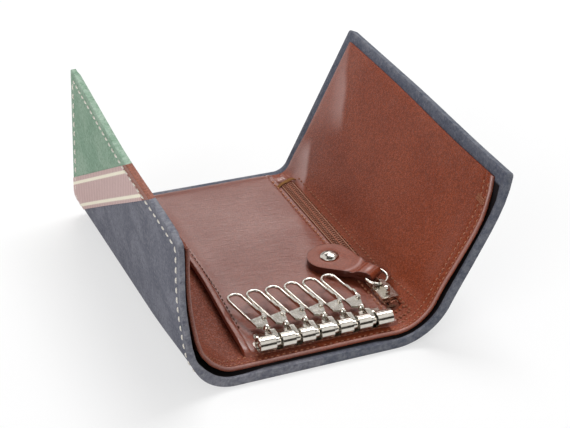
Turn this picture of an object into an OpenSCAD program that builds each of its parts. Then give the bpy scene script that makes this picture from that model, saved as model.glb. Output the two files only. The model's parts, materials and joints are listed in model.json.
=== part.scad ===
// Key case that folds in three: a centre panel with six snap hooks and a zip pocket, and two flaps.
// It stands on its centre panel. The origin is the middle of the underside, +Y runs along the folds
// to the back edge, +X points to the flap beside the zip, and the hooks are at the front.

/* [Case] */
// Length of the case along its folds
case_l = 115; // [100:1:140]
// Width of the right flap past its fold
right_flap_w = 57.2; // [44:0.1:62]
// Width of the left flap past its fold
left_flap_w = 47.9; // [40:0.1:60]
// Radius of the flaps' free corners
corner_r = 3; // [1:0.5:4]
// How far the right flap stands up from flat
right_open = 66.5; // [50:0.5:85]
// How far the left flap stands up from flat
left_open = 84.5; // [60:0.5:90]

/* [Leather] */
// Thickness of the outer leather
skin_t = 1.2; // [1:0.1:1.6]
// Thickness of the stiffening board inside a panel
board_t = 0.8; // [0.5:0.1:1.2]
// Thickness of the outer cover where its edge is turned in
rim_t = 3.2; // [2.8:0.1:3.8]
// Thickness of the lining leather
lining_t = 1.2; // [1:0.1:1.6]
// Height of the long pocket's open mouth along the front edge
mouth_h = 0.7; // [0.4:0.1:0.9]
// Width of the turned edge round a cover panel
turn_in = 10; // [8:0.5:12]
// Outer leather left showing along the back edge and the free edges
border_w = 4.2; // [3:0.1:6]
// Outer leather left showing along the front edge
front_border_w = 1.4; // [1:0.1:2]
// Room between the closed flap and the top of the hook bar, in which the hooks swivel
closing_gap = 2.7; // [2.7:0.1:5]
// Room between the two flaps when both are closed
flap_gap = 0.4; // [0.3:0.1:2]

/* [Key panel] */
// Thickness of the key panel's leather
panel_t = 1.2; // [1:0.1:1.6]
// Distance from the left fold axis to the key panel's open left edge
panel_inset = 12; // [9:0.5:20]
// Width of the folded hem along that open edge
hem_w = 2.6; // [2:0.1:4]
// Height of the folded hem above the key panel
hem_h = 0.5; // [0.3:0.1:0.8]
// Width of the strips sewn down along the key panel's front and back
sewn_w = 4.5; // [3:0.1:6]
// Thickness of the zip pocket's cloth
bag_t = 0.5; // [0.3:0.1:0.8]

/* [Zip] */
// Distance from the zip's middle to the right fold axis
zip_inset = 1.2; // [1:0.1:2]
// Length of the zip's teeth
chain_l = 84; // [70:1:90]
// Distance from the front edge to the first tooth
chain_start = 16; // [15:0.5:18]
// Width of both rows of teeth together
chain_w = 4.2; // [3.6:0.1:4.6]
// Height of the teeth
chain_h = 1.5; // [1:0.1:1.6]
// Thickness of the zip tape
tape_t = 0.4; // [0.3:0.1:0.6]
// Width of the left tape that shows beside the teeth
tape_show = 2.3; // [2:0.1:3]
// Length of the slider's body
slider_l = 8.6; // [7:0.1:10]
// Thickness of the slider's top plate and sides
slider_t = 0.8; // [0.6:0.1:1]
// Clearance between the slider and the teeth
slider_gap = 0.3; // [0.2:0.05:0.4]
// Width of the eye on top of the slider
bail_w = 1.6; // [1.2:0.1:2]

/* [Pull] */
// Thickness of the pull ring's wire
ring_wire_d = 1.1; // [0.9:0.1:1.3]
// Width of the pull ring, between the middles of its wire
ring_w = 8; // [7.4:0.1:9]
// Depth of the pull ring, between the middles of its wire
ring_depth = 5.6; // [5.4:0.1:9]
// Radius of the pull ring's two tight corners
ring_corner_r = 0.8; // [0.8:0.1:1]
// How far the pull ring tips up at rest
ring_tip = 8; // [5:0.5:14]
// Angle between the pull tab and the zip
tab_turn = 28.8; // [20:0.1:34]
// Width of the pull tab where it folds round the ring
tab_neck_w = 6.2; // [5:0.1:6.2]
// Radius of the pull tab's round end
tab_end_r = 7.9; // [6:0.1:8.5]
// Distance from the ring to the middle of the round end
tab_reach = 17.8; // [14:0.1:18.4]
// Thickness of one of the pull tab's two layers
tab_layer_t = 1.3; // [1:0.1:1.4]
// How far the pull tab slopes down to the key panel
tab_slope = 3.8; // [3:0.1:3.8]
// Radius of the rivet's cap on the pull tab
cap_r = 3.3; // [2.5:0.1:3.6]
// Height of that cap
cap_h = 1.3; // [0.8:0.1:1.4]

/* [Hook bar] */
// Length of the bar's two end barrels
end_barrel_l = 5.55; // [4.4:0.05:7]
// Distance from the bar's left end to the key panel's open left edge
bar_margin = 1.4; // [1:0.1:3]
// Distance from the bar's right end to the zip's tape
bar_inset = 1.4; // [1:0.1:3]
// Distance from the front edge to the rod
bar_setback = 6.5; // [6:0.1:9]
// Outer radius of the rolled barrels
barrel_r = 2.6; // [2.4:0.05:2.8]
// Thickness of the bar's sheet metal
sheet_t = 0.5; // [0.4:0.05:0.6]
// Clearance between two neighbouring loops
hook_room = 0.38; // [0.3:0.02:0.8]
// Gap between two barrels, where a hook hangs
barrel_gap = 2.3; // [2.2:0.05:2.6]
// Depth of the flat plate behind the rod
plate_depth = 8.5; // [7:0.1:9]
// Radius of the rod
rod_r = 0.8; // [0.7:0.05:0.9]
// Radius of the bar's rivet heads
rivet_r = 1.6; // [1.3:0.1:1.8]
// Height of the bar's rivet heads
rivet_h = 0.8; // [0.5:0.1:0.9]
// Radius of the bar's rivet shanks
shank_r = 0.8; // [0.6:0.1:0.9]

/* [Hooks] */
// How far the hooks lean to the left of their links
hook_lean = 13; // [0:0.5:13]
// How far the hooks rise from the rod to their tips
hook_rise = 4.5; // [4.5:0.1:6]
// Width of a link's band
link_w = 1.7; // [1.4:0.05:1.8]
// Thickness of a link's band
link_t = 0.55; // [0.45:0.05:0.65]
// Length of a link, between the middles of its two round ends
link_l = 4; // [3.6:0.1:4.6]
// Thickness of a loop's wire
wire_d = 1.1; // [0.9:0.05:1.2]
// Width of a loop, outside
loop_w = 6.3; // [5.6:0.05:8]
// Distance from a hook's swivel to the outside of its loop's tip
loop_reach = 21.9; // [18:0.1:24]
// Radius of the bead at the swivel
bead_r = 1.3; // [1:0.05:1.35]
// Thickness of a hook's plate
hook_plate_t = 0.8; // [0.6:0.05:0.8]
// Step from each side of a loop to the side of its plate
plate_step = 0.35; // [0.2:0.05:0.6]
// Length of a hook's plate
hook_plate_l = 5; // [4.6:0.1:6]
// Length of a hook's gate past its plate
gate_l = 6; // [5:0.1:7]
// Radius of the pin that a gate turns on
gate_pin_r = 0.4; // [0.3:0.05:0.45]

/* [Ribbon] */
// Width of the ribbon across the left flap
ribbon_w = 11.8; // [9:0.1:14]
// Angle between the ribbon and the folds
ribbon_turn = 33; // [28:0.5:38]
// Distance from the back edge to the ribbon's back side, along the fold
ribbon_back = -6.3; // [-8:0.1:-4]
// Thickness of the leather strap under the ribbon
strap_t = 0.5; // [0.4:0.05:0.6]
// Thickness of the ribbon
ribbon_t = 0.3; // [0.2:0.05:0.4]
// Distance from the free edge to the ribbon's end and the stitching
stitch_inset = 3; // [2.5:0.1:4]

/* [Hidden] */
$fn = 48;

// Overrun of a cut past the face that it opens
cut = 0.5;
// Clearance between a turning pin and its hole
pin_gap = 0.05;
// Clearance between parts that lie close and don't turn in each other
near_gap = 0.2;

// Heights of the stack, from the rest surface up
stack_t = rim_t + lining_t;
bag_top = stack_t + bag_t;
panel_top = bag_top + panel_t;
tape_top = bag_top + tape_t;
rod_z = panel_top + barrel_r;
bar_top = rod_z + barrel_r;

// Hook bar: as long as its hooks need, and the centre panel as wide as bar and zip need
hook_count = 6;
hook_pitch = (loop_w + hook_room) / cos(hook_lean);
bar_l = (hook_count - 1) * hook_pitch + barrel_gap + 2 * end_barrel_l;
zip_room = zip_inset + chain_w / 2 + tape_show;
fold_span = panel_inset + bar_margin + bar_l + bar_inset + zip_room;
half_span = fold_span / 2;
bar_x = half_span - zip_room - bar_inset - bar_l / 2;

// Fold axes: each flap closes flat over what lies under it
right_fold_r = (bar_top + closing_gap + stack_t) / 2;
left_fold_r = right_fold_r + (stack_t + flap_gap) / 2;

// Edges of the case and of the key panel
front_y = -case_l / 2;
back_y = case_l / 2;
lining_front_y = front_y + front_border_w;
lining_back_y = back_y - border_w;
panel_left_x = bar_x - bar_l / 2 - bar_margin;

// Zip
zip_x = half_span - zip_inset;
chain_y = front_y + chain_start;
coil_z = tape_top + near_gap;
coil_top = coil_z + chain_h;
tape_left_x = half_span - zip_room;
tape_lap = 1;
tape_split = 0.8;
tape_end = 4;
tape_curl = 58;
panel_right_x = tape_left_x + tape_lap;
stop_l = 2;
tooth_pitch = 1.5;
core_share = 0.8;
ridge_share = 0.5;

// Slider, ring and tab
slider_half_w = chain_w / 2 + slider_gap + slider_t;
slider_z = coil_top + slider_gap;
slider_top = slider_z + slider_t;
slider_skirt = 0.9;
crown_w_share = 0.6;
crown_l_shares = [0.12, 0.88];
slider_y = chain_y + stop_l / 2;
eye_hole_r = ring_wire_d / 2 + near_gap;
eye_wall_share = 0.7;
eye_r = eye_hole_r + eye_wall_share * ring_wire_d;
bail_y = slider_y + slider_l - eye_r;
bail_z = slider_top + eye_hole_r + near_gap;
ring_leg = ring_depth - ring_corner_r - ring_w / 2;
tab_eye_r = ring_wire_d / 2 + pin_gap;
tab_bend_r = tab_eye_r + tab_layer_t - near_gap;
tail_t = 0.3;
tail_share = 0.8;

// Hook bar and hooks
rod_y = front_y + bar_setback;
plate_back_y = rod_y + plate_depth;
seam_turn = 25;
seam_h = 0.25;
collar_t = 1;
link_play = 0.3;
link_in_r = rod_r + link_play;
link_out_r = link_in_r + link_t;
swivel_s = link_l + link_in_r + link_t / 2;
post_r = 0.45;
post_gap = 0.2;
head_r = 0.8;
head_t = 0.75;
head_back = 0.75;
bead_s = bead_r + link_t / 2 + near_gap;
plate_s = bead_s + bead_r / 2;
plate_end = plate_s + hook_plate_l;
plate_neck_w = 2.2;
hook_plate_w = loop_w - 2 * plate_step;
loop_r = (loop_w - wire_d) / 2;
loop_arc_s = loop_reach - wire_d / 2 - loop_r;
gate_tip = plate_end + gate_l;
gate_w = 1;
gate_x = loop_w / 2 - gate_w;
gate_pin_x = loop_r - gate_w / 2;
gate_pin_inset = 1.2;
gate_pin_s = plate_end - gate_pin_inset;
gate_t = 0.4;
gate_eye_r = 0.9;
gate_head_share = 0.8;
thumb_h = 0.4;
thumb_l = 1.8;

function hook_x(i) = bar_x + (i - (hook_count + 1) / 2) * hook_pitch;

// A box between two corners
module box(from, to) {
  translate(from) cube(to - from);
}

// A cylinder along X, centred on the place where it is drawn
module x_cylinder(r, l) {
  rotate([0, 90, 0]) cylinder(r = r, h = l, center = true);
}

// A cylinder along Y that starts where it is drawn
module y_cylinder(r, l) {
  rotate([-90, 0, 0]) cylinder(r = r, h = l);
}

// Carries what is drawn flat, with X from the fold and its outside down, to the right flap
module on_right_flap() {
  translate([half_span, 0, right_fold_r])
    rotate([0, -right_open, 0])
      translate([0, 0, -right_fold_r])
        children();
}

// The same for the left flap
module on_left_flap() {
  translate([-half_span, 0, left_fold_r])
    rotate([0, left_open, 0])
      translate([0, 0, -left_fold_r])
        mirror([1, 0, 0])
          children();
}

// Plan of a flap, with its two free corners round
module flap_plan(w, y0, y1, r) {
  translate([0, y0]) square([w - r, y1 - y0]);
  translate([0, y0 + r]) square([w, y1 - y0 - 2 * r]);
  for (y = [y0 + r, y1 - r]) {
    translate([w - r, y]) circle(r = r);
  }
}

// A cover panel's well for its board, and the pocket mouth in its front edge
module cover_cuts(x0, x1) {
  box([x0, front_y + turn_in / 2, skin_t], [x1, back_y - turn_in, rim_t + cut]);
  box([x0, front_y - cut, rim_t - mouth_h], [x1, front_y + turn_in, rim_t + cut]);
}

// One layer of leather round a fold: outer radius, thickness and turn
module fold_layer(r, t, turn, y0, y1) {
  rotate([90, 0, 0])
    rotate([0, 0, -90])
      rotate_extrude(angle = turn, $fn = 96)
        translate([r - t, -y1])
          square([t, y1 - y0]);
}

module cover_centre() {
  color("#4f5668")
    difference() {
      box([-half_span, front_y, 0], [half_span, back_y, rim_t]);
      cover_cuts(-half_span - cut, half_span + cut);
    }
}

module cover_right() {
  color("#4f5668")
    on_right_flap()
      difference() {
        linear_extrude(rim_t) flap_plan(right_flap_w, front_y, back_y, corner_r);
        cover_cuts(-cut, right_flap_w - turn_in);
      }
}

// Half of the plan behind a line that crosses the left flap along the ribbon, set forward by some width
module behind_ribbon(set) {
  translate([0, back_y - ribbon_back - set / sin(ribbon_turn)])
    rotate(ribbon_turn - 90)
      translate([-case_l, 0])
        square([case_l * 3, case_l * 2]);
}

module left_inlay_plan() {
  intersection() {
    flap_plan(left_flap_w, front_y, back_y, corner_r);
    behind_ribbon(ribbon_w);
  }
}

module cover_left() {
  color("#4f5668")
    on_left_flap()
      difference() {
        linear_extrude(rim_t) flap_plan(left_flap_w, front_y, back_y, corner_r);
        cover_cuts(-cut, left_flap_w - turn_in);
        translate([0, 0, -cut])
          linear_extrude(strap_t + ribbon_t + cut) left_inlay_plan();
      }
}

module green_corner() {
  color("#5f8f74")
    on_left_flap()
      linear_extrude(strap_t + ribbon_t)
        intersection() {
          flap_plan(left_flap_w, front_y, back_y, corner_r);
          behind_ribbon(0);
        }
}

module ribbon_strap() {
  color("#8a3a22")
    on_left_flap()
      translate([0, 0, ribbon_t])
        linear_extrude(strap_t)
          difference() {
            left_inlay_plan();
            behind_ribbon(0);
          }
}

module ribbon() {
  color("#d9c4bd")
    on_left_flap()
      linear_extrude(ribbon_t)
        difference() {
          intersection() {
            translate([0, front_y]) square([left_flap_w - stitch_inset, case_l]);
            behind_ribbon(ribbon_w);
          }
          behind_ribbon(0);
        }
}

module cover_fold_right() {
  color("#4f5668")
    translate([half_span, 0, right_fold_r])
      fold_layer(right_fold_r, rim_t - mouth_h, right_open, front_y, back_y);
}

module cover_fold_left() {
  color("#4f5668")
    translate([-half_span, 0, left_fold_r])
      mirror([1, 0, 0])
        fold_layer(left_fold_r, rim_t - mouth_h, left_open, front_y, back_y);
}

// A stiffening board lying in a cover panel's well
module board(x0, x1) {
  box(
    [x0 + near_gap, front_y + turn_in / 2 + near_gap, skin_t],
    [x1 - near_gap, back_y - turn_in - near_gap, skin_t + board_t]
  );
}

module board_centre() {
  color("#b9a27c") board(-half_span, half_span);
}

module board_right() {
  color("#b9a27c") on_right_flap() board(0, right_flap_w - turn_in);
}

module board_left() {
  color("#b9a27c") on_left_flap() board(0, left_flap_w - turn_in);
}

// The shanks of the two rivets that hold the hook bar, for the rivets and for their holes
module bar_rivet_places() {
  for (side = [-1, 1]) {
    translate([
      bar_x + side * (bar_l / 2 - rivet_r - barrel_gap / 2),
      plate_back_y - rivet_r - sheet_t,
      0
    ])
      children();
  }
}

module rivet_holes(z0, z1) {
  bar_rivet_places()
    translate([0, 0, z0 - cut])
      cylinder(r = shank_r + pin_gap, h = z1 - z0 + 2 * cut);
}

module lining_centre() {
  color("#7d3c26")
    difference() {
      box([-half_span, lining_front_y, rim_t], [half_span, lining_back_y, stack_t]);
      rivet_holes(rim_t, stack_t);
    }
}

module lining_right() {
  color("#7d3c26")
    on_right_flap()
      box([0, lining_front_y, rim_t], [right_flap_w - border_w, lining_back_y, stack_t]);
}

module lining_left() {
  color("#7d3c26")
    on_left_flap()
      box([0, lining_front_y, rim_t], [left_flap_w - border_w, lining_back_y, stack_t]);
}

module lining_fold_right() {
  color("#7d3c26")
    translate([half_span, 0, right_fold_r])
      fold_layer(right_fold_r - rim_t, lining_t, right_open, lining_front_y, lining_back_y);
}

module lining_fold_left() {
  color("#7d3c26")
    translate([-half_span, 0, left_fold_r])
      mirror([1, 0, 0])
        fold_layer(left_fold_r - rim_t, lining_t, left_open, lining_front_y, lining_back_y);
}

module pocket_bag() {
  color("#5a4636")
    difference() {
      box(
        [panel_left_x + hem_w, lining_front_y + sewn_w + near_gap, stack_t],
        [half_span - near_gap, lining_back_y - sewn_w - near_gap, bag_top]
      );
      rivet_holes(stack_t, bag_top);
    }
}

module key_panel() {
  color("#8b4a33")
    difference() {
      union() {
        box([panel_left_x, lining_front_y, bag_top], [panel_right_x, lining_back_y, panel_top]);
        box([panel_left_x, lining_front_y, stack_t], [panel_right_x, lining_front_y + sewn_w, panel_top]);
        box([panel_left_x, lining_back_y - sewn_w, stack_t], [panel_right_x, lining_back_y, panel_top]);
        box(
          [panel_left_x, plate_back_y + near_gap, panel_top - cut],
          [panel_left_x + hem_w, lining_back_y - sewn_w, panel_top + hem_h]
        );
      }
      box(
        [tape_left_x - near_gap, chain_y - tape_end, bag_top - cut],
        [panel_right_x + cut, chain_y + chain_l + tape_end, tape_top]
      );
      rivet_holes(stack_t, panel_top);
    }
}

module zip_tape_left() {
  color("#6a3a26")
    box(
      [tape_left_x, chain_y - tape_end + near_gap, bag_top],
      [zip_x - tape_split / 2, chain_y + chain_l + tape_end - near_gap, tape_top]
    );
}

// The right tape follows the start of the fold
module zip_tape_right() {
  y0 = chain_y - tape_end + near_gap;
  y1 = chain_y + chain_l + tape_end - near_gap;
  color("#6a3a26") {
    box([zip_x + tape_split / 2, y0, bag_top], [half_span, y1, tape_top]);
    translate([half_span, 0, right_fold_r])
      fold_layer(right_fold_r - bag_top, tape_t, tape_curl, y0, y1);
  }
}

// A row of teeth: a core with a ridge for each turn of the coil
module coil(side) {
  core_h = core_share * chain_h;
  translate([zip_x, chain_y, coil_z])
    mirror([side < 0 ? 1 : 0, 0, 0]) {
      cube([chain_w / 2, chain_l, core_h]);
      for (i = [0 : floor(chain_l / tooth_pitch) - 1]) {
        translate([0, (i + ridge_share / 2) * tooth_pitch, 0])
          cube([chain_w / 2, tooth_pitch * ridge_share, chain_h]);
      }
    }
}

module zip_coil_left() {
  color("#5c4030") coil(-1);
}

module zip_coil_right() {
  color("#5c4030") coil(1);
}

module zip_stops() {
  color("#9c5a2a") {
    box(
      [zip_x - chain_w / 2, chain_y - stop_l, tape_top],
      [half_span, chain_y - near_gap, coil_top]
    );
    box(
      [zip_x - slider_half_w, chain_y + chain_l + near_gap, tape_top],
      [half_span, chain_y + chain_l + stop_l, coil_top]
    );
  }
}

module zip_slider() {
  color("#d8d4cc")
    difference() {
      translate([zip_x, slider_y, 0])
        union() {
          box([-slider_half_w, 0, slider_z], [slider_half_w, slider_l, slider_top]);
          for (side = [-1, 1]) {
            box(
              [side * (slider_half_w - slider_t / 2) - slider_t / 2, 0, slider_z - slider_skirt],
              [side * (slider_half_w - slider_t / 2) + slider_t / 2, slider_l, slider_top]
            );
          }
          box(
            [-slider_half_w * crown_w_share, slider_l * crown_l_shares[0], slider_top - cut],
            [slider_half_w * crown_w_share, slider_l * crown_l_shares[1], slider_top + near_gap]
          );
          box(
            [-bail_w / 2, slider_l / 3, slider_top - cut],
            [bail_w / 2, slider_l - eye_r, bail_z]
          );
          box(
            [-bail_w / 2, slider_l / 3 + eye_r / 2, slider_top],
            [bail_w / 2, slider_l - eye_r, bail_z + eye_r]
          );
          translate([0, slider_l - eye_r, bail_z]) x_cylinder(eye_r, bail_w);
          translate([0, slider_l / 3 + eye_r / 2, bail_z]) x_cylinder(eye_r, bail_w);
        }
      translate([zip_x, bail_y, bail_z]) x_cylinder(eye_hole_r, bail_w + 2 * cut);
    }
}

// Where the pull ring's straight bar lies, turned towards the pull tab, with the ring below it
module at_ring_bar() {
  translate([zip_x, bail_y, bail_z])
    rotate([ring_tip, 0, 0])
      translate([0, ring_w / 2, 0])
        rotate([0, 0, tab_turn])
          translate([0, ring_leg + ring_corner_r, 0])
            children();
}

module wire_arc(r, turn) {
  rotate_extrude(angle = turn)
    translate([r, 0])
      circle(r = ring_wire_d / 2, $fn = 24);
}

module pull_ring() {
  straight = ring_w / 2 - ring_corner_r;
  wire_r = ring_wire_d / 2;
  color("#dcd8d0")
    at_ring_bar() {
      x_cylinder(wire_r, 2 * straight, $fn = 24);
      for (side = [0, 1]) {
        mirror([side, 0, 0]) {
          translate([straight, -ring_corner_r, 0])
            wire_arc(ring_corner_r, 90);
          translate([ring_w / 2, -ring_corner_r - ring_leg, 0])
            y_cylinder(wire_r, ring_leg, $fn = 24);
        }
      }
      translate([0, -ring_corner_r - ring_leg, 0])
        rotate([0, 0, 180])
          wire_arc(ring_w / 2, 180);
    }
}

// The pull tab's frame: its eye on the ring's bar, +Y along the tab
module at_tab() {
  at_ring_bar()
    rotate([-ring_tip - tab_slope, 0, 0])
      children();
}

// Plan of the tab: a neck, a flare that runs just inside the round end's tangents, and the round end
module tab_plan() {
  inner_r = tab_end_r - pin_gap;
  neck_l = tab_bend_r + near_gap;
  neck_x = tab_neck_w / 2;
  rise = tab_reach - neck_l;
  far = sqrt(neck_x * neck_x + rise * rise);
  bearing = atan2(-rise, neck_x) + acos(inner_r / far);
  touch_x = inner_r * cos(bearing);
  touch_y = tab_reach + inner_r * sin(bearing);
  polygon([
    [-neck_x, 0], [neck_x, 0], [neck_x, neck_l], [touch_x, touch_y],
    [-touch_x, touch_y], [-neck_x, neck_l]
  ]);
  translate([0, tab_reach]) circle(r = tab_end_r);
}

module pull_tab() {
  color("#8a4128")
    at_tab()
      difference() {
        union() {
          translate([0, 0, -tab_layer_t]) linear_extrude(2 * tab_layer_t) tab_plan();
          x_cylinder(tab_bend_r, tab_neck_w - 2 * pin_gap);
        }
        x_cylinder(tab_eye_r, tab_neck_w + 2 * cut);
        translate([0, tab_reach, -tab_layer_t - cut])
          cylinder(r = shank_r + pin_gap, h = 2 * (tab_layer_t + cut));
      }
}

// A low dome of a given base radius and height, from an arc turned about Z
module dome(r, h) {
  ball_r = (r * r + h * h) / (2 * h);
  intersection() {
    translate([0, 0, h - ball_r]) sphere(r = ball_r);
    cylinder(r = r, h = h);
  }
}

module pull_rivet() {
  color("#d6cfc2")
    at_tab()
      translate([0, tab_reach, 0]) {
        translate([0, 0, tab_layer_t]) dome(cap_r, cap_h);
        translate([0, 0, -tab_layer_t]) cylinder(r = shank_r, h = 2 * tab_layer_t);
        translate([0, 0, -tab_layer_t - tail_t]) cylinder(r = cap_r * tail_share, h = tail_t);
      }
}

// Sheet metal rolled into barrels along its front edge, with a gap for each hook
module hook_bar() {
  color("#dedbd4")
    difference() {
      union() {
        translate([bar_x, rod_y, rod_z]) x_cylinder(barrel_r, bar_l);
        box(
          [bar_x - bar_l / 2, rod_y, panel_top],
          [bar_x + bar_l / 2, plate_back_y, panel_top + sheet_t]
        );
      }
      translate([bar_x, rod_y, rod_z]) x_cylinder(barrel_r - sheet_t, bar_l + 2 * cut);
      translate([bar_x, rod_y, rod_z])
        rotate([seam_turn, 0, 0])
          box([-bar_l, -barrel_r - cut, -seam_h / 2], [bar_l, 0, seam_h / 2]);
      for (i = [1 : hook_count]) {
        box(
          [hook_x(i) - barrel_gap / 2, rod_y - barrel_r - cut, panel_top + sheet_t],
          [hook_x(i) + barrel_gap / 2, rod_y + barrel_r + cut, bar_top + cut]
        );
      }
      rivet_holes(panel_top, panel_top + sheet_t);
    }
}

module hook_rod() {
  color("#cfcac0")
    translate([bar_x, rod_y, rod_z]) {
      x_cylinder(rod_r, bar_l - 2 * near_gap);
      for (side = [-1, 1]) {
        translate([side * (bar_l / 2 - collar_t), 0, 0])
          x_cylinder(barrel_r - sheet_t - pin_gap, collar_t);
      }
    }
}

module bar_rivets() {
  color("#c9c3b8")
    bar_rivet_places() {
      translate([0, 0, panel_top + sheet_t]) dome(rivet_r, rivet_h);
      translate([0, 0, rim_t]) cylinder(r = shank_r, h = panel_top + sheet_t - rim_t);
      translate([0, 0, rim_t - tail_t]) cylinder(r = rivet_r, h = tail_t);
    }
}

// A link's frame: the rod's middle in the hook's gap, +Y along the link
module at_link(i) {
  translate([hook_x(i), rod_y, rod_z])
    rotate([hook_rise, 0, 0])
      children();
}

// A hook's frame: the middle of its swivel, +Y along the hook
module at_hook(i) {
  at_link(i)
    translate([0, swivel_s, 0])
      rotate([0, 0, hook_lean])
        children();
}

// A band with two round ends, drawn as a solid of some radius
module link_body(r, w) {
  x_cylinder(r, w);
  translate([0, link_l, 0]) x_cylinder(r, w);
  box([-w / 2, 0, -r], [w / 2, link_l, r]);
}

module hook_link(i) {
  color("#dad6ce")
    at_link(i)
      difference() {
        link_body(link_out_r, link_w);
        link_body(link_in_r, link_w + 2 * cut);
        translate([0, link_l, 0]) y_cylinder(post_r + post_gap, link_out_r + cut);
      }
}

// The swivel's post with its head inside the link, the bead and the flat plate that carries loop and gate
module hook_plate(i) {
  half_t = hook_plate_t / 2;
  color("#e2dfd8")
    at_hook(i) {
      translate([0, -head_back - head_t, 0]) y_cylinder(head_r, head_t);
      translate([0, -head_back - head_t / 2, 0]) y_cylinder(post_r, head_back + bead_s);
      translate([0, bead_s, 0]) sphere(r = bead_r);
      translate([0, 0, -half_t])
        linear_extrude(hook_plate_t)
          polygon([
            [-plate_neck_w / 2, bead_s], [plate_neck_w / 2, bead_s],
            [plate_neck_w / 2, plate_s], [hook_plate_w / 2, plate_end - gate_pin_inset],
            [hook_plate_w / 2, plate_end], [-hook_plate_w / 2, plate_end],
            [-hook_plate_w / 2, plate_s + bead_r], [-plate_neck_w / 2, plate_s]
          ]);
      translate([gate_pin_x, gate_pin_s, -half_t])
        cylinder(r = gate_pin_r, h = hook_plate_t + gate_t + 2 * pin_gap);
      translate([gate_pin_x, gate_pin_s, half_t + gate_t + 2 * pin_gap])
        cylinder(r = gate_eye_r * gate_head_share, h = gate_t / 2);
    }
}

// The long wire loop that keys hang on, open at one side where the gate closes it
module hook_loop(i) {
  wire_r = wire_d / 2;
  color("#e0dcd4")
    at_hook(i) {
      translate([-loop_r, plate_end, 0])
        y_cylinder(wire_r, loop_arc_s - plate_end, $fn = 24);
      translate([0, loop_arc_s, 0])
        rotate_extrude(angle = 180)
          translate([loop_r, 0])
            circle(r = wire_r, $fn = 24);
      translate([loop_r, gate_tip + near_gap, 0])
        y_cylinder(wire_r, loop_arc_s - gate_tip - near_gap, $fn = 24);
    }
}

module hook_gate(i) {
  half_t = hook_plate_t / 2;
  bar_s = plate_end + near_gap;
  color("#d2cdc4")
    at_hook(i)
      difference() {
        union() {
          translate([gate_pin_x, gate_pin_s, half_t + pin_gap])
            cylinder(r = gate_eye_r, h = gate_t);
          box(
            [gate_x, gate_pin_s, half_t + pin_gap],
            [gate_x + gate_w, bar_s + gate_w, half_t + pin_gap + gate_t]
          );
          box([gate_x, bar_s, -half_t], [gate_x + gate_w, gate_tip, half_t + pin_gap + gate_t / 2]);
          box(
            [gate_x, bar_s + gate_w / 2, half_t],
            [gate_x + gate_w, bar_s + gate_w / 2 + thumb_l, half_t + gate_t + thumb_h]
          );
        }
        translate([gate_pin_x, gate_pin_s, 0])
          cylinder(r = gate_pin_r + pin_gap, h = hook_plate_t + gate_t);
      }
}

cover_centre();
cover_right();
cover_left();
green_corner();
ribbon_strap();
ribbon();
cover_fold_right();
cover_fold_left();
board_centre();
board_right();
board_left();
lining_centre();
lining_right();
lining_left();
lining_fold_right();
lining_fold_left();
pocket_bag();
key_panel();
zip_tape_left();
zip_tape_right();
zip_coil_left();
zip_coil_right();
zip_stops();
zip_slider();
pull_ring();
pull_tab();
pull_rivet();
hook_bar();
hook_rod();
bar_rivets();
hook_link(1);  // hook_1_link
hook_plate(1);  // hook_1_plate
hook_loop(1);  // hook_1_loop
hook_gate(1);  // hook_1_gate
hook_link(2);  // hook_2_link
hook_plate(2);  // hook_2_plate
hook_loop(2);  // hook_2_loop
hook_gate(2);  // hook_2_gate
hook_link(3);  // hook_3_link
hook_plate(3);  // hook_3_plate
hook_loop(3);  // hook_3_loop
hook_gate(3);  // hook_3_gate
hook_link(4);  // hook_4_link
hook_plate(4);  // hook_4_plate
hook_loop(4);  // hook_4_loop
hook_gate(4);  // hook_4_gate
hook_link(5);  // hook_5_link
hook_plate(5);  // hook_5_plate
hook_loop(5);  // hook_5_loop
hook_gate(5);  // hook_5_gate
hook_link(6);  // hook_6_link
hook_plate(6);  // hook_6_plate
hook_loop(6);  // hook_6_loop
hook_gate(6);  // hook_6_gate
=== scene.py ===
# %% [markdown]
# # A key case that folds in three
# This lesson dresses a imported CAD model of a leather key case. The metal parts keep their CAD
# meshes and only get a finish. The leather, the ribbon, the zip and the thread are soft, so each
# is built again here: it is cut flat, as a leather worker cuts it, and then folded up.

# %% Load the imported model
import bpy
import bmesh
import json
import math
import random
from mathutils import Matrix, Vector


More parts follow.
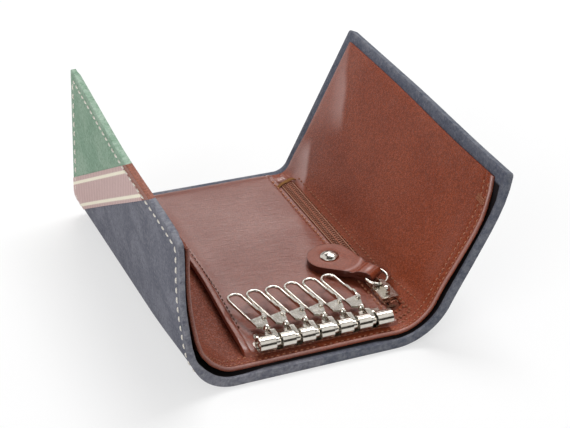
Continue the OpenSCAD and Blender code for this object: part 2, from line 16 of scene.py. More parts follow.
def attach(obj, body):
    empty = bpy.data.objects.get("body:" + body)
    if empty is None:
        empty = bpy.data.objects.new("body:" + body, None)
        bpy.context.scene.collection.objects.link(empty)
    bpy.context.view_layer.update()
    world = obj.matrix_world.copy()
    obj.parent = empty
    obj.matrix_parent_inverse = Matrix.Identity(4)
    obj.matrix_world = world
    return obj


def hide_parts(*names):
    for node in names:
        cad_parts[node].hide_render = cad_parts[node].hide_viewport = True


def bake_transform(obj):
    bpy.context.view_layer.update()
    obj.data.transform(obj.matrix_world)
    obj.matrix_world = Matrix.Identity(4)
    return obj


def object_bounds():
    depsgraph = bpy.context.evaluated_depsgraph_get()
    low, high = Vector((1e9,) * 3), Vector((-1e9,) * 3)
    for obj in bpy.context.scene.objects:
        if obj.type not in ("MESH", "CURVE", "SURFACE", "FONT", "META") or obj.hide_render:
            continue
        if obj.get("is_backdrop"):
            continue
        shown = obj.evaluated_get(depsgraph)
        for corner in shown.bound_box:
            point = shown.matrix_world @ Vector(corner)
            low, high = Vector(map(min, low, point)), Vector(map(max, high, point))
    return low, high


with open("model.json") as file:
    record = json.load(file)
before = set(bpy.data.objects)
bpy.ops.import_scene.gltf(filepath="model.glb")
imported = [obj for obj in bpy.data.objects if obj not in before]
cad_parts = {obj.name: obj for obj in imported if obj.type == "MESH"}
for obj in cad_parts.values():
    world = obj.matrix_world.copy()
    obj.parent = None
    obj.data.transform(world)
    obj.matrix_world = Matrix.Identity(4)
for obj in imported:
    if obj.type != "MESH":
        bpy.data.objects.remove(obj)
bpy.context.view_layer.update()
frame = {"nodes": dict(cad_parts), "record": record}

# %% [markdown]
# The sizes repeat those of the CAD source, in metres. A flat piece is laid out with X across the
# case, Y along its folds and Z as the height above the outer face, so that one function can fold
# every layer, whatever its height in the stack. RIM is the cover's thickness, STACK the height of
# the lining's top, and BORDER the rim of the cover that the lining leaves free.

# %% Sizes of the case
MM = 0.001


def mm(*values):
    return [value * MM for value in values]


FRONT, BACK = mm(-57.5, 57.5)
HALF_SPAN = 34.04 * MM
RIM = 3.2 * MM
STACK = 4.4 * MM
PANEL_TOP = 6.1 * MM
BORDER = 4.2 * MM
LINING_FRONT, LINING_BACK = mm(-56.1, 53.3)
RIGHT, LEFT = 1, -1
SIDES = ((RIGHT, "right"), (LEFT, "left"))
FOLD_R = {RIGHT: 9.2 * MM, LEFT: 11.6 * MM}
OPEN = {RIGHT: math.radians(66.5), LEFT: math.radians(84.5)}
FLAP_W = {RIGHT: 57.2 * MM, LEFT: 47.9 * MM}
ARC = {side: FOLD_R[side] * OPEN[side] for side in (RIGHT, LEFT)}
FLAP_START = {side: HALF_SPAN + ARC[side] for side in (RIGHT, LEFT)}
EDGE = {side: FLAP_START[side] + FLAP_W[side] for side in (RIGHT, LEFT)}
ZIP_X = 32.84 * MM
print("flat width of the case", round(EDGE[RIGHT] + EDGE[LEFT], 4), "m")

# %% [markdown]
# A soft form is a sum of gentle steps and curves. One helper goes from 0 to 1 between two places,
# and another draws a smooth curve through a few measured points.

# %% Gentle steps and curves
def blend_in(value, low, high):
    share = min(1.0, max(0.0, (value - low) / (high - low)))
    return share * share * (3 - 2 * share)


def blend_mm(value, low, high):
    """The same for a value in metres and limits in millimetres."""
    return blend_in(value, low * MM, high * MM)


def curve_through(*points):
    """A smooth curve through (place, value) points given in millimetres."""
    places = [a * MM for a, b in points]
    values = [b * MM for a, b in points]
    slopes = [0.0]
    for i in range(1, len(points) - 1):
        slopes.append((values[i + 1] - values[i - 1]) / (places[i + 1] - places[i - 1]))
    slopes.append(0.0)

    def value_at(place):
        if place <= places[0]:
            return values[0]
        for i in range(len(places) - 1):
            if place <= places[i + 1]:
                width = places[i + 1] - places[i]
                t = (place - places[i]) / width
                first = (2 * t + 1) * (1 - t) ** 2 * values[i] + t * t * (3 - 2 * t) * values[i + 1]
                second = t * (1 - t) ** 2 * slopes[i] - t * t * (1 - t) * slopes[i + 1]
                return first + second * width
        return values[-1]

    return value_at


print("halfway in", blend_in(0.5, 0, 1))

# %% [markdown]
# Real leather isn't flat. Towards the front both folds open into wider curves, the left flap
# bellies out and leans back in at its top, and the right flap curls inwards at its free edge.
# The left flap also leans more at its front than at its back. All this is part of the fold's own
# function, so the cover, its lining and their seams follow it together.

# %% Fold a flat piece up
LEFT_TWIST = math.radians(4.6)
WIDER = {RIGHT: 11.5 * MM, LEFT: 4.0 * MM}
BELLY = {
    RIGHT: curve_through((50, 0), (56, 0), (66, -0.3), (76, -0.5), (84, -0.5), (91, 0), (96, 0.9),
                         (102, 2.4)),
    LEFT: curve_through((47, 0), (56, -0.75), (66, -0.85), (75, -0.6), (84, 0.25), (91, 1.2),
                        (99, 1.9)),
}
BELLY_FROM = {RIGHT: (-15, 45), LEFT: (-5, 55)}


def side_of(x):
    return RIGHT if x >= 0 else LEFT


def fold_point(x, y, h):
    side, u = side_of(x), abs(x)
    wider = WIDER[side] * blend_mm(-y, 18, 57.5)
    lead = wider * math.tan(OPEN[side] / 2)
    radius, start = FOLD_R[side] + wider, HALF_SPAN - lead
    if u <= start:
        return Vector((x, y, h))
    arc, turn = radius * OPEN[side], OPEN[side]
    if side == LEFT:
        turn += LEFT_TWIST * y / BACK
    h += BELLY[side](u) * blend_mm(-y, *BELLY_FROM[side])
    angle = turn * min(1.0, (u - start) / arc)
    across, up = math.sin(angle), math.cos(angle)
    out, rise = (radius - h) * across, radius - (radius - h) * up
    past = u - start - arc
    if past > 0:
        past *= (FLAP_W[side] - lead) / (EDGE[side] - start - arc)
        out, rise = out + past * up, rise + past * across
    return Vector((side * (start + out), y, rise))


for side, word in SIDES:
    print("free edge,", word, [round(v, 4) for v in fold_point(side * EDGE[side], 0, 0)])

# %% [markdown]
# The operators act on whatever is selected, so each helper starts with nothing selected.

# %% Selecting and adding
def use(piece=None):
    """Selects this piece alone, or nothing."""
    if bpy.context.mode != "OBJECT":
        bpy.ops.object.mode_set(mode="OBJECT")
    bpy.ops.object.select_all(action="DESELECT")
    if piece:
        piece.select_set(True)
        bpy.context.view_layer.objects.active = piece


def edit(piece):
    """Opens the piece in Edit Mode with all of it selected."""
    use(piece)
    bpy.ops.object.mode_set(mode="EDIT")
    bpy.ops.mesh.select_all(action="SELECT")


def pick(piece, kind, chosen):
    """Selects the edges or the faces for which chosen says yes."""
    bpy.ops.mesh.select_mode(type=kind)
    bpy.ops.mesh.select_all(action="DESELECT")
    mesh = bmesh.from_edit_mesh(piece.data)
    for item in mesh.edges if kind == "EDGE" else mesh.faces:
        item.select_set(bool(chosen(item)))
    bmesh.update_edit_mesh(piece.data)


def add_object(name, data):
    piece = bpy.data.objects.new(name, data)
    bpy.context.scene.collection.objects.link(piece)
    return piece


# %% [markdown]
# A cut flat piece starts as a cube of its own size. Straight cuts across it give the mesh the
# points that it needs to bend, and a bevel takes the hardness off its edges.

# %% Cutting and rounding
def slab(name, low, high):
    use()
    middle = [(a + b) / 2 for a, b in zip(low, high)]
    bpy.ops.mesh.primitive_cube_add(size=1, location=middle)
    piece = bpy.context.object
    piece.name = piece.data.name = name
    piece.scale = [b - a for a, b in zip(low, high)]
    bpy.ops.object.transform_apply(location=True, rotation=True, scale=True)
    return piece


def cut_across(piece, axis, places):
    edit(piece)
    normal = [float(i == axis) for i in range(3)]
    for place in places:
        bpy.ops.mesh.select_all(action="SELECT")
        point = [place * share for share in normal]
        bpy.ops.mesh.bisect(plane_co=point, plane_no=normal)
    bpy.ops.object.mode_set(mode="OBJECT")


def cut_off(piece, point, normal):
    """Keeps what lies behind the plane, and closes the cut."""
    edit(piece)
    bpy.ops.mesh.bisect(plane_co=point, plane_no=normal, use_fill=True, clear_outer=True)
    bpy.ops.object.mode_set(mode="OBJECT")


def bevel_edges(piece, chosen, width, segments):
    edit(piece)
    pick(piece, "EDGE", chosen)
    bpy.ops.mesh.bevel(offset=width, segments=segments, affect="EDGES", clamp_overlap=True)
    bpy.ops.object.mode_set(mode="OBJECT")


def sharp(edge, free_x=None):
    """True for an edge between two faces that meet at a corner, away from the plane X = free_x."""
    if len(edge.link_faces) != 2 or edge.calc_face_angle(0) < 0.6:
        return False
    return free_x is None or any(abs(v.co.x - free_x) > 1e-5 for v in edge.verts)


def smooth(piece, degrees=40):
    use(piece)
    bpy.ops.object.shade_smooth_by_angle(angle=math.radians(degrees))


def steps(start, end, count):
    return [start + (end - start) * i / count for i in range(count + 1)]


# %% [markdown]
# A finish on folded leather has to follow the leather, so each point keeps the place that it had
# while the piece lay flat. A finish can also read a number that is stored at each point, such as
# how much the leather is rubbed there.

# %% From flat to folded
FINISHES = {}


def move_points(piece, place):
    for vertex in piece.data.vertices:
        vertex.co = place(*vertex.co)


def keep_flat_place(piece):
    flat = piece.data.attributes.new("flat_place", "FLOAT_VECTOR", "POINT")
    for vertex, item in zip(piece.data.vertices, flat.data):
        item.vector = vertex.co


def mark(piece, name, share_at):
    layer = piece.data.attributes.new(name, "FLOAT", "POINT")
    for vertex, item in zip(piece.data.vertices, layer.data):
        item.value = share_at(*vertex.co)


def fold_up(piece):
    keep_flat_place(piece)
    move_points(piece, fold_point)
    smooth(piece)


def finish_with(piece, material):
    piece.data.materials.clear()
    piece.data.materials.append(FINISHES[material])


# %% [markdown]
# Shader maths reads best as sums. The class wraps a socket, and an expression on two of them
# adds the Math node that it needs.

# %% Sums of sockets
class Value:
    def __init__(self, tree, socket):
        self.tree, self.socket = tree, socket

    def _math(self, operation, first, second=0.0):
        node = self.tree.nodes.new("ShaderNodeMath")
        node.operation = operation
        for slot, item in zip(node.inputs, (first, second)):
            connect(self.tree, slot, item)
        return Value(self.tree, node.outputs[0])

    def __abs__(self):
        return self._math("ABSOLUTE", self)

    def least(self, other):
        return self._math("MINIMUM", self, other)

    def wave(self):
        return self._math("SINE", self)


def add_operator(symbol, operation):
    """Lets the operator work on a Value and a number, on either side of it."""
    setattr(Value, "__%s__" % symbol, lambda a, b: a._math(operation, a, b))
    setattr(Value, "__r%s__" % symbol, lambda a, b: a._math(operation, b, a))


for symbol, operation in (("add", "ADD"), ("sub", "SUBTRACT"), ("mul", "MULTIPLY")):
    add_operator(symbol, operation)


def connect(tree, slot, item):
    if isinstance(item, Value):
        tree.links.new(item.socket, slot)
    elif hasattr(item, "__len__") and len(item) == 3 and slot.type == "RGBA":
        slot.default_value = (*item, 1.0)
    else:
        slot.default_value = item


# %% [markdown]
# A finish holds one material. Its methods add the other nodes: noise at several sizes, smooth
# ramps between two levels, layers of colour painted over each other, and relief.

# %% A finish
class Finish:
    def __init__(self, name, flat=True, **constants):
        self.material = bpy.data.materials.new(name)
        self.material.use_nodes = True
        self.tree = self.material.node_tree
        self.shader = self.tree.nodes["Principled BSDF"]
        for key, value in constants.items():
            self.set(key.replace("_", " "), value)
        if flat:
            self.place = self.node("Attribute", {"attribute_name": "flat_place"}, out="Vector")
        else:
            self.place = self.node("TexCoord", out="Object")
        FINISHES[name] = self.material

    def node(self, kind, settings=None, out=0, **inputs):
        """Adds a node. An input is named, or numbered as in _6."""
        node = self.tree.nodes.new("ShaderNode" + kind)
        for key, value in (settings or {}).items():
            setattr(node, key, value)
        for key, value in inputs.items():
            number = key[1:]
            slot = node.inputs[int(number) if number.isdigit() else key.replace("_", " ")]
            connect(self.tree, slot, value)
        return Value(self.tree, node.outputs[out])

    def set(self, socket, value):
        connect(self.tree, self.shader.inputs[socket], value)

    def noise(self, scale, detail=2.0, rough=0.5, stretch=(1, 1, 1), twist=0.0):
        at = self.place
        if stretch != (1, 1, 1):
            at = self.node("Mapping", Vector=self.place, Scale=stretch)
        return self.node(
            "TexNoise", Vector=at, Scale=scale, Detail=detail, Roughness=rough, Distortion=twist
        )

    def marked(self, name):
        return self.node("Attribute", {"attribute_name": name}, out="Fac")

    def cell_walls(self, scale):
        feature = {"feature": "DISTANCE_TO_EDGE"}
        return self.node("TexVoronoi", feature, Vector=self.place, Scale=scale)

    def axes(self):
        node = self.tree.nodes.new("ShaderNodeSeparateXYZ")
        connect(self.tree, node.inputs[0], self.place)
        return [Value(self.tree, socket) for socket in node.outputs]

    def ramp(self, value, low, high, to_low=0.0, to_high=1.0):
        return self.node(
            "MapRange", {"interpolation_type": "SMOOTHSTEP"}, Value=value,
            From_Min=low, From_Max=high, To_Min=to_low, To_Max=to_high,
        )

    def ramp_mm(self, value, low, high, to_low=0.0, to_high=1.0):
        return self.ramp(value, low * MM, high * MM, to_low, to_high)

    def mix(self, share, first, second):
        return self.node("Mix", {"data_type": "RGBA"}, out=2, _0=share, _6=first, _7=second)

    def paint(self, share, tint):
        """Lays a tint over the colour so far."""
        self.colour = self.mix(share, self.colour, tint)

    def relief(self, height, depth, strength=1.0):
        self.set("Normal", self.node("Bump", Height=height, Distance=depth, Strength=strength))


def shaded(colour, share):
    return [channel * share for channel in colour]


print("the finishes are kept in a table,", len(FINISHES), "so far")

# %% [markdown]
# The cover is nubuck: leather buffed to a short nap. It is dull, a little cloudy, and paler where
# it is rubbed, which is along its edges and in loose streaks. Its colour comes from noise of
# several sizes, and the nap from a fine bump. The mouth of the long pocket is a dark line of shade
# behind the front rim, and that shade is painted into the colour as near-black.

# %% Nubuck finishes
# Near-black tint of the painted shade in the pocket's mouth.
MOUTH_SHADE_PAINT = (0.006, 0.003, 0.004)


# Mask of the painted shade: the inside of the pocket's mouth, behind the front rim.
def painted_mouth_shade(skin, across, along, height):
    depth = skin.ramp_mm(along, -55.7, -55.4) * skin.ramp_mm(along, -46, -45, 1.0, 0.0)
    ends = skin.ramp(abs(across), EDGE[RIGHT] - 6 * MM, EDGE[RIGHT] - 5 * MM, 1.0, 0.0)
    return depth * skin.ramp_mm(height, 1.0, 1.3) * ends


def nubuck(name, deep, pale, worn, side):
    skin = Finish(name, Specular_IOR_Level=0.12, Sheen_Weight=0.05, Sheen_Roughness=0.6)
    cloud = skin.ramp(skin.noise(70, 3, 0.6, twist=0.6), 0.36, 0.68)
    streak = skin.ramp(skin.noise(260, 3, 0.6, stretch=(1, 0.25, 1)), 0.56, 0.78)
    fleck, speck = skin.noise(2600, 2, 0.7), skin.noise(900, 3, 0.7)
    across, along, height = skin.axes()
    near_edge = (along - FRONT).least(BACK - along).least(EDGE[side] - abs(across))
    rub = skin.ramp_mm(near_edge, 0.1, 2.2, 1.0, 0.0)
    skin.colour = skin.mix(cloud, deep, pale)
    skin.paint(streak * 0.3, worn)
    skin.paint(skin.ramp(speck, 0.5, 0.66) * 0.6, shaded(deep, 0.55))
    skin.paint(skin.ramp(speck, 0.47, 0.33) * 0.5, worn)
    skin.paint(rub * skin.ramp(skin.noise(420, 4, 0.7), 0.35, 0.7) * 0.75, worn)
    skin.paint(skin.ramp(fleck, 0.35, 0.7) * 0.35, shaded(deep, 0.62))
    # Painted shade: the pocket's mouth is painted near-black.
    skin.paint(painted_mouth_shade(skin, across, along, height), MOUTH_SHADE_PAINT)
    skin.set("Base Color", skin.colour)
    skin.set("Roughness", 0.82 + 0.14 * cloud)
    skin.relief(fleck * 0.7 + skin.noise(700, 3, 0.6) * 0.6, 0.12 * MM, 0.7)


nubuck("navy_nubuck_right", (0.085, 0.095, 0.13), (0.13, 0.14, 0.176), (0.22, 0.225, 0.25), RIGHT)
nubuck("navy_nubuck_left", (0.112, 0.116, 0.15), (0.192, 0.196, 0.234), (0.28, 0.28, 0.3), LEFT)
nubuck("green_nubuck", (0.2, 0.325, 0.23), (0.31, 0.43, 0.33), (0.42, 0.53, 0.44), LEFT)
print("nubuck finishes", len(FINISHES))

# %% [markdown]
# The lining is smooth aniline leather. Its shine is a thin coat over a soft gloss, its grain is a
# net of small cells, and faint creases run across it where it has been bent. The right flap also
# has a painted sheen: pale patches in its colour stand for the light that its polished leather
# shows where light grazes it.

# %% Painted sheen
# Tint of the painted sheen, painted glints and painted highlights on the smooth leathers.
PAINTED_SHEEN_TINT = (0.58, 0.385, 0.36)
TOP_AT, FOOT_AT = mm(71.8, 33), mm(46.9, 38.6)


def painted_sheen_share(skin, across, along):
    """Painted sheen: one patch near the flap's top and one at its foot, with slanting front edges.
    """
    wander = (skin.noise(75, 2, 0.5) - 0.5) * 6 * MM
    parting = across - TOP_AT[0] + (along - TOP_AT[1]) * 0.605 + wander
    past_top = along - TOP_AT[1] - (across - TOP_AT[0]) * 0.7 + wander * 0.5
    top = skin.ramp_mm(past_top, -1.2, 2.4) * skin.ramp_mm(past_top, 2, 13, 1.0, 0.35)
    top = top * skin.ramp_mm(parting, -5, 9) * skin.ramp_mm(across, 80, 98, 1.0, 0.4)
    past_foot = along - FOOT_AT[1] - (across - FOOT_AT[0]) * 0.62 + wander * 0.5
    foot = skin.ramp_mm(past_foot, -0.8, 2.2) * skin.ramp_mm(past_foot, 2, 12, 1.0, 0.4)
    foot = foot * skin.ramp_mm(parting, -12, -1, 1.0, 0.0) * skin.ramp_mm(across, 37, 48)
    return (top * 0.42 + foot * 0.66) * skin.ramp_mm(across, 30, 34)


# %% [markdown]
# One function makes all the smooth leathers. They differ in colour, in gloss, and in how much
# grain, speckle and painted glints they show. Cut edges are darker, and turned and pinched places
# get a painted highlight.

# %% Smooth leather
CUT_DARK = (0.035, 0.008, 0.006)


def smooth_leather(name, deep, pale, gloss, level, coat=0.3, grain=0.3, crease=0.12, speckle=0.5,
                   glint_specks=0.1, back_sheen=0.0, painted_sheen=False, flat=True):
    skin = Finish(name, flat=flat, Specular_IOR_Level=level, Coat_Roughness=0.16, Coat_IOR=1.4)
    cloud = skin.ramp(skin.noise(45, 3, 0.55, twist=0.4), 0.3, 0.7)
    pores = skin.ramp(skin.cell_walls(1250), 0.0, 0.22)
    pebble, beads = skin.noise(1900, 2, 0.6), skin.noise(1500, 2, 0.7)
    mottle = skin.noise(420, 4, 0.65)
    folds = skin.noise(430, 3, 0.6, stretch=(0.3, 1, 1), twist=0.8)
    skin.colour = skin.mix(cloud, deep, pale)
    skin.paint(skin.ramp(mottle, 0.5, 0.75) * 0.3, shaded(deep, 0.6))
    skin.paint(skin.ramp(pebble, 0.44, 0.6) * speckle, shaded(deep, 0.5))
    skin.paint(skin.ramp(pebble, 0.5, 0.36) * speckle * 0.6, shaded(pale, 1.45))
    skin.paint(skin.ramp(pores, 0.0, 0.6, 0.3, 0.0), shaded(deep, 0.4))
    skin.paint(skin.ramp(beads, 0.52, 0.64) * 0.25, shaded(deep, 0.5))
    # Pale specks of painted glint on the grain.
    skin.paint(skin.ramp(beads, 0.47, 0.36) * glint_specks, PAINTED_SHEEN_TINT)
    across, along, height = skin.axes()
    # The painted sheen of the right flap.
    if painted_sheen:
        skin.paint(painted_sheen_share(skin, across, along), PAINTED_SHEEN_TINT)
    rolled = skin.marked("rolled")
    # Painted highlight where the mark says the leather is turned, pinched or bent.
    skin.paint(rolled * 0.6, PAINTED_SHEEN_TINT)
    skin.paint(skin.marked("cut_edge") * 0.8, CUT_DARK)
    skin.set("Base Color", skin.colour)
    skin.set("Roughness", gloss + 0.16 * mottle)
    polished = skin.ramp_mm(along + skin.noise(55, 3, 0.6) * 22 * MM, 36, 58) * back_sheen
    skin.set("Coat Weight", (coat * (0.7 + 0.6 * cloud) + polished + rolled * 0.6).least(1.0))
    height = pores * grain * 0.5 + pebble * grain + mottle * 0.12 + folds * crease
    skin.relief(height, 0.5 * MM, 0.6)


smooth_leather("lining_brown_right", (0.24, 0.044, 0.015), (0.295, 0.061, 0.022), 0.34, 0.2,
               coat=0.12, glint_specks=0.05, back_sheen=0.3, painted_sheen=True)
# The left lining's colours are partly the leather's own tone and partly a painted sheen, which
# makes them paler and greyer.
smooth_leather("lining_brown_left", (0.197, 0.043, 0.02), (0.25, 0.06, 0.028), 0.34, 0.12,
               coat=0.06, grain=0.5, speckle=0.6, glint_specks=0.13)
smooth_leather("panel_brown", (0.195, 0.037, 0.015), (0.235, 0.052, 0.023), 0.32, 0.55,
               coat=0.34, grain=0.12, crease=0.9, speckle=0.3, glint_specks=0.02)
smooth_leather("strap_brown", (0.25, 0.075, 0.04), (0.31, 0.1, 0.06), 0.42, 0.25, coat=0.1)
smooth_leather("tab_brown", (0.2, 0.038, 0.016), (0.25, 0.055, 0.023), 0.24, 0.1,
               grain=0.08, speckle=0.25, glint_specks=0.03, flat=False)
print("leather finishes", len(FINISHES))

# %% [markdown]
# Nickel plate is bright, slightly warm metal. Handling leaves fine scratches and a cloudy film,
# so its roughness varies and a very fine relief breaks up the reflections.

# %% Metal finish
nickel = Finish("nickel_plate", flat=False, Metallic=1.0)
film = nickel.ramp(nickel.noise(600, 3, 0.6), 0.35, 0.75)
nickel.set("Base Color", nickel.mix(film, (0.6, 0.56, 0.5), (0.68, 0.64, 0.58)))
nickel.set("Roughness", 0.17 + 0.06 * film)
nickel.relief(nickel.noise(1500, 3, 0.6), 0.01 * MM, 0.02)
print("metal finish", nickel.material.name)

# %% [markdown]
# Thread is twisted from three strands, so it gets slanting ridges. Its colour is matched to the
# leather that it is sewn through.

# %% Thread finishes
def thread(name, colour, dark):
    yarn = Finish(name, Roughness=0.7, Specular_IOR_Level=0.3)
    across, along, height = yarn.axes()
    ply = ((across + along + height) * 9000).wave() * 0.5 + 0.5
    yarn.set("Base Color", yarn.mix(ply, dark, colour))
    yarn.relief(ply, 0.06 * MM, 0.7)


thread("thread_cream", (0.86, 0.82, 0.74), (0.6, 0.56, 0.5))
thread("thread_dark", (0.13, 0.05, 0.02), (0.04, 0.014, 0.009))
thread("thread_orange", (0.5, 0.22, 0.13), (0.24, 0.08, 0.042))
thread("thread_rust", (0.34, 0.125, 0.065), (0.16, 0.045, 0.02))
thread("thread_pale", (0.62, 0.36, 0.25), (0.32, 0.14, 0.085))
thread("thread_gold", (0.36, 0.17, 0.04), (0.14, 0.05, 0.015))
print("finishes", len(FINISHES))

# %% [markdown]
# The ribbon is a twill: fine diagonal ribs, with a cream stripe woven in near each long side. The
# lettering of the real ribbon is left out. The zip's tape is a plain weave and its coils are
# nylon. All three follow from sine waves along the threads' own directions.

# %% Twill, tape and nylon
ACROSS_RIBBON = (0.8387, 0.5446)
RIBBON_BACK, RIBBON_FRONT = mm(34.75, 22.94)
STRIPES = mm(32.7, 24.6)

twill = Finish("ribbon_twill", Roughness=0.75, Specular_IOR_Level=0.3, Sheen_Weight=0.2)
across, along, height = twill.axes()
place = (0.0 - across - FLAP_START[LEFT]) * ACROSS_RIBBON[0] + along * ACROSS_RIBBON[1]
ribs = ((across * 1.2 + along * 0.5) * 6500).wave() * 0.5 + 0.5
weft = (across * 900 - along * 3600).wave() * 0.5 + 0.5
yarns = ribs * 0.2 + weft * 0.4 + twill.noise(500, 3, 0.7) * 0.4
twill.colour = twill.mix(yarns, (0.37, 0.2, 0.19), (0.68, 0.5, 0.47))
for stripe in STRIPES:
    off = abs(place - stripe + (along * 7000).wave() * 0.12 * MM)
    twill.paint(twill.ramp_mm(off, 0.45, 0.62, 1.0, 0.0), (0.86, 0.8, 0.64))
twill.set("Base Color", twill.colour)
twill.relief(ribs * 0.6 + weft * 0.5, 0.09 * MM, 0.7)

tape = Finish("tape_weave", Roughness=0.8, Specular_IOR_Level=0.25)
across, along, height = tape.axes()
weave = (across * 11000).wave() * (along * 9000).wave() * 0.5 + 0.5
tape.colour = tape.mix(weave, (0.085, 0.024, 0.014), (0.17, 0.052, 0.029))
tape.paint(tape.ramp_mm(abs(across - ZIP_X), 2.5, 2.8), (0.13, 0.034, 0.017))
tape.set("Base Color", tape.colour)
tape.relief(weave, 0.1 * MM, 0.7)

nylon = Finish("coil_nylon", flat=False, Specular_IOR_Level=0.3)
cloudy = nylon.noise(800, 3, 0.6)
nylon.set("Base Color", nylon.mix(cloudy, (0.3, 0.1, 0.055), (0.46, 0.185, 0.115)))
nylon.set("Roughness", 0.45 + 0.1 * cloudy)
nylon.relief(nylon.noise(4000, 2), 0.02 * MM, 0.4)
print("all finishes", len(FINISHES))

# %% [markdown]
# The outer cover is one piece of nubuck turned over its stiffening. It is made as two halves that
# meet under the key panel, because each half bends at its own fold. A half is a slab with cuts
# across it; its free corners are rounded first, then all its outer edges. Along the front the
# inside is sunk a little: that is the mouth of the long pocket.

# %% The cover's two halves
CORNER_R = 2.8 * MM
MOUTH_DEPTH = 1.1 * MM
THIN_RIM, THIN_EDGE = mm(1.4, 1.0)


def near(a, b):
    return abs(a - b) < 1e-6


def window(value, low, high, soft):
    """1 between low and high, and 0 outside, with soft sides."""
    return blend_in(value, low - soft, low) * (1 - blend_in(value, high, high + soft))


def fold_cuts(side, flap_end):
    """Where a half is cut across, with the closest cuts in the fold."""
    places = mm(10, 20) + steps(26 * MM, 54 * MM, 28) + steps(54 * MM, flap_end, 9)[1:-1]
    return [side * place for place in places]


def shape_cover(x, y, h):
    """Sinks the pocket's mouth behind the front rim, and thins the left flap's borders."""
    side, u = side_of(x), abs(x)
    if h > RIM / 2:
        mouth = window(y, -55.9 * MM, -40 * MM, 0.5 * MM)
        mouth *= window(u, 30 * MM, EDGE[side] - 14 * MM, 8 * MM)
        h -= MOUTH_DEPTH * mouth * (h - RIM / 2) * 2 / RIM
    if side == LEFT:
        rim = max(1 - blend_mm(y - FRONT, 3, 8), 1 - blend_mm(BACK - y, 3, 8))
        thin = max(THIN_RIM * rim * blend_mm(u, 42, 58),
                   THIN_EDGE * blend_in(u, EDGE[side] - 7 * MM, EDGE[side] - 1.5 * MM))
        h *= 1 - thin / RIM
    return x, y, h


def cover_half(side, name):
    end = side * EDGE[side]
    piece = slab(name, (min(0, end), FRONT, 0), (max(0, end), BACK, RIM))
    cut_across(piece, 0, fold_cuts(side, EDGE[side]))
    cut_across(piece, 1, mm(-56.3, -55.9, -55.4, -54, -51.5, -49, -40, -30, -20, -10, 0, 10, 20,
                            30, 40, 49.5, 52, 54.5))

    def free_corner(edge):
        a, b = (v.co for v in edge.verts)
        upright = near(a.x, b.x) and near(a.y, b.y)
        return upright and near(abs(a.x), EDGE[side]) and (near(a.y, FRONT) or near(a.y, BACK))

    bevel_edges(piece, free_corner, CORNER_R, 5)
    bevel_edges(piece, lambda edge: sharp(edge, 0.0), 1.0 * MM, 3)
    move_points(piece, shape_cover)
    return piece


cover_right = cover_half(RIGHT, "cover_leather_right")
cover_left = cover_half(LEFT, "cover_leather_left")
print("cover halves", len(cover_right.data.polygons), len(cover_left.data.polygons), "faces")

# %% [markdown]
# A fold isn't a pin hinge: its leather bends over a length. The lining lies inside the bend, where
# the zip's ring needs room on the right, so the start of its bend is given later there. The helpers
# below find the points where a skin's bend starts and ends, which nothing else uses, and bake each
# piece's placement into its mesh.

# %% Where the bends start
LINING_BEND_START = {RIGHT: 0.45, LEFT: 0.05}


def hinge_at(piece, side, first, height):
    start, end = (fold_point(side * u, 0, height) for u in (first, FLAP_START[side]))
    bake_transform(piece)


def hinge_cover(piece, side):
    hinge_at(piece, side, HALF_SPAN, 0)


def hinge_lining(piece, side):
    hinge_at(piece, side, HALF_SPAN + LINING_BEND_START[side] * ARC[side], STACK)


print("length of the folds", [round(ARC[side], 4) for side in (RIGHT, LEFT)], "m")

# %% [markdown]
# The left half is sewn together from three leathers. Two slanting cuts across the flat half part
# it: green nubuck at the back corner, a strip of brown leather under the ribbon, and navy.

# %% Green corner and brown strip
def duplicate(piece, name):
    copy = add_object(name, piece.data.copy())
    copy.data.name = name
    return copy


def ribbon_cut(distance, towards):
    """A plane along the ribbon, which keeps what lies in front of it (1) or behind it (-1)."""
    u = FLAP_START[LEFT] + distance / ACROSS_RIBBON[0]
    return (-u, 0, 0), (-towards * ACROSS_RIBBON[0], towards * ACROSS_RIBBON[1], 0)


green = duplicate(cover_left, "green_corner_leather")
brown = duplicate(cover_left, "ribbon_strap_leather")
cut_off(green, *ribbon_cut(RIBBON_BACK, -1))
cut_off(brown, *ribbon_cut(RIBBON_FRONT, -1))
cut_off(brown, *ribbon_cut(RIBBON_BACK, 1))
cut_off(cover_left, *ribbon_cut(RIBBON_FRONT, 1))
for piece, finish, slot, side in (
    (cover_right, "navy_nubuck_right", "navy_leather", RIGHT),
    (cover_left, "navy_nubuck_left", "navy_leather", LEFT),
    (green, "green_nubuck", "green_leather", LEFT),
    (brown, "strap_brown", "strap_leather", LEFT),
):
    fold_up(piece)
    finish_with(piece, finish)
    hinge_cover(piece, side)
    print(piece.name, len(piece.data.polygons), "faces")
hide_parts("cover_right", "cover_fold_right", "board_right")
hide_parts("cover_centre", "cover_left", "cover_fold_left", "board_centre",
            "board_left")
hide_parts("green_corner")
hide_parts("ribbon_strap")

# %% [markdown]
# The ribbon lies across the brown strip and stops at the row of stitches near the free edge. It
# is a thin slab laid square, turned to its slant about the middle of its line, trimmed along the
# back edge and the stitches, and then folded up with the rest.

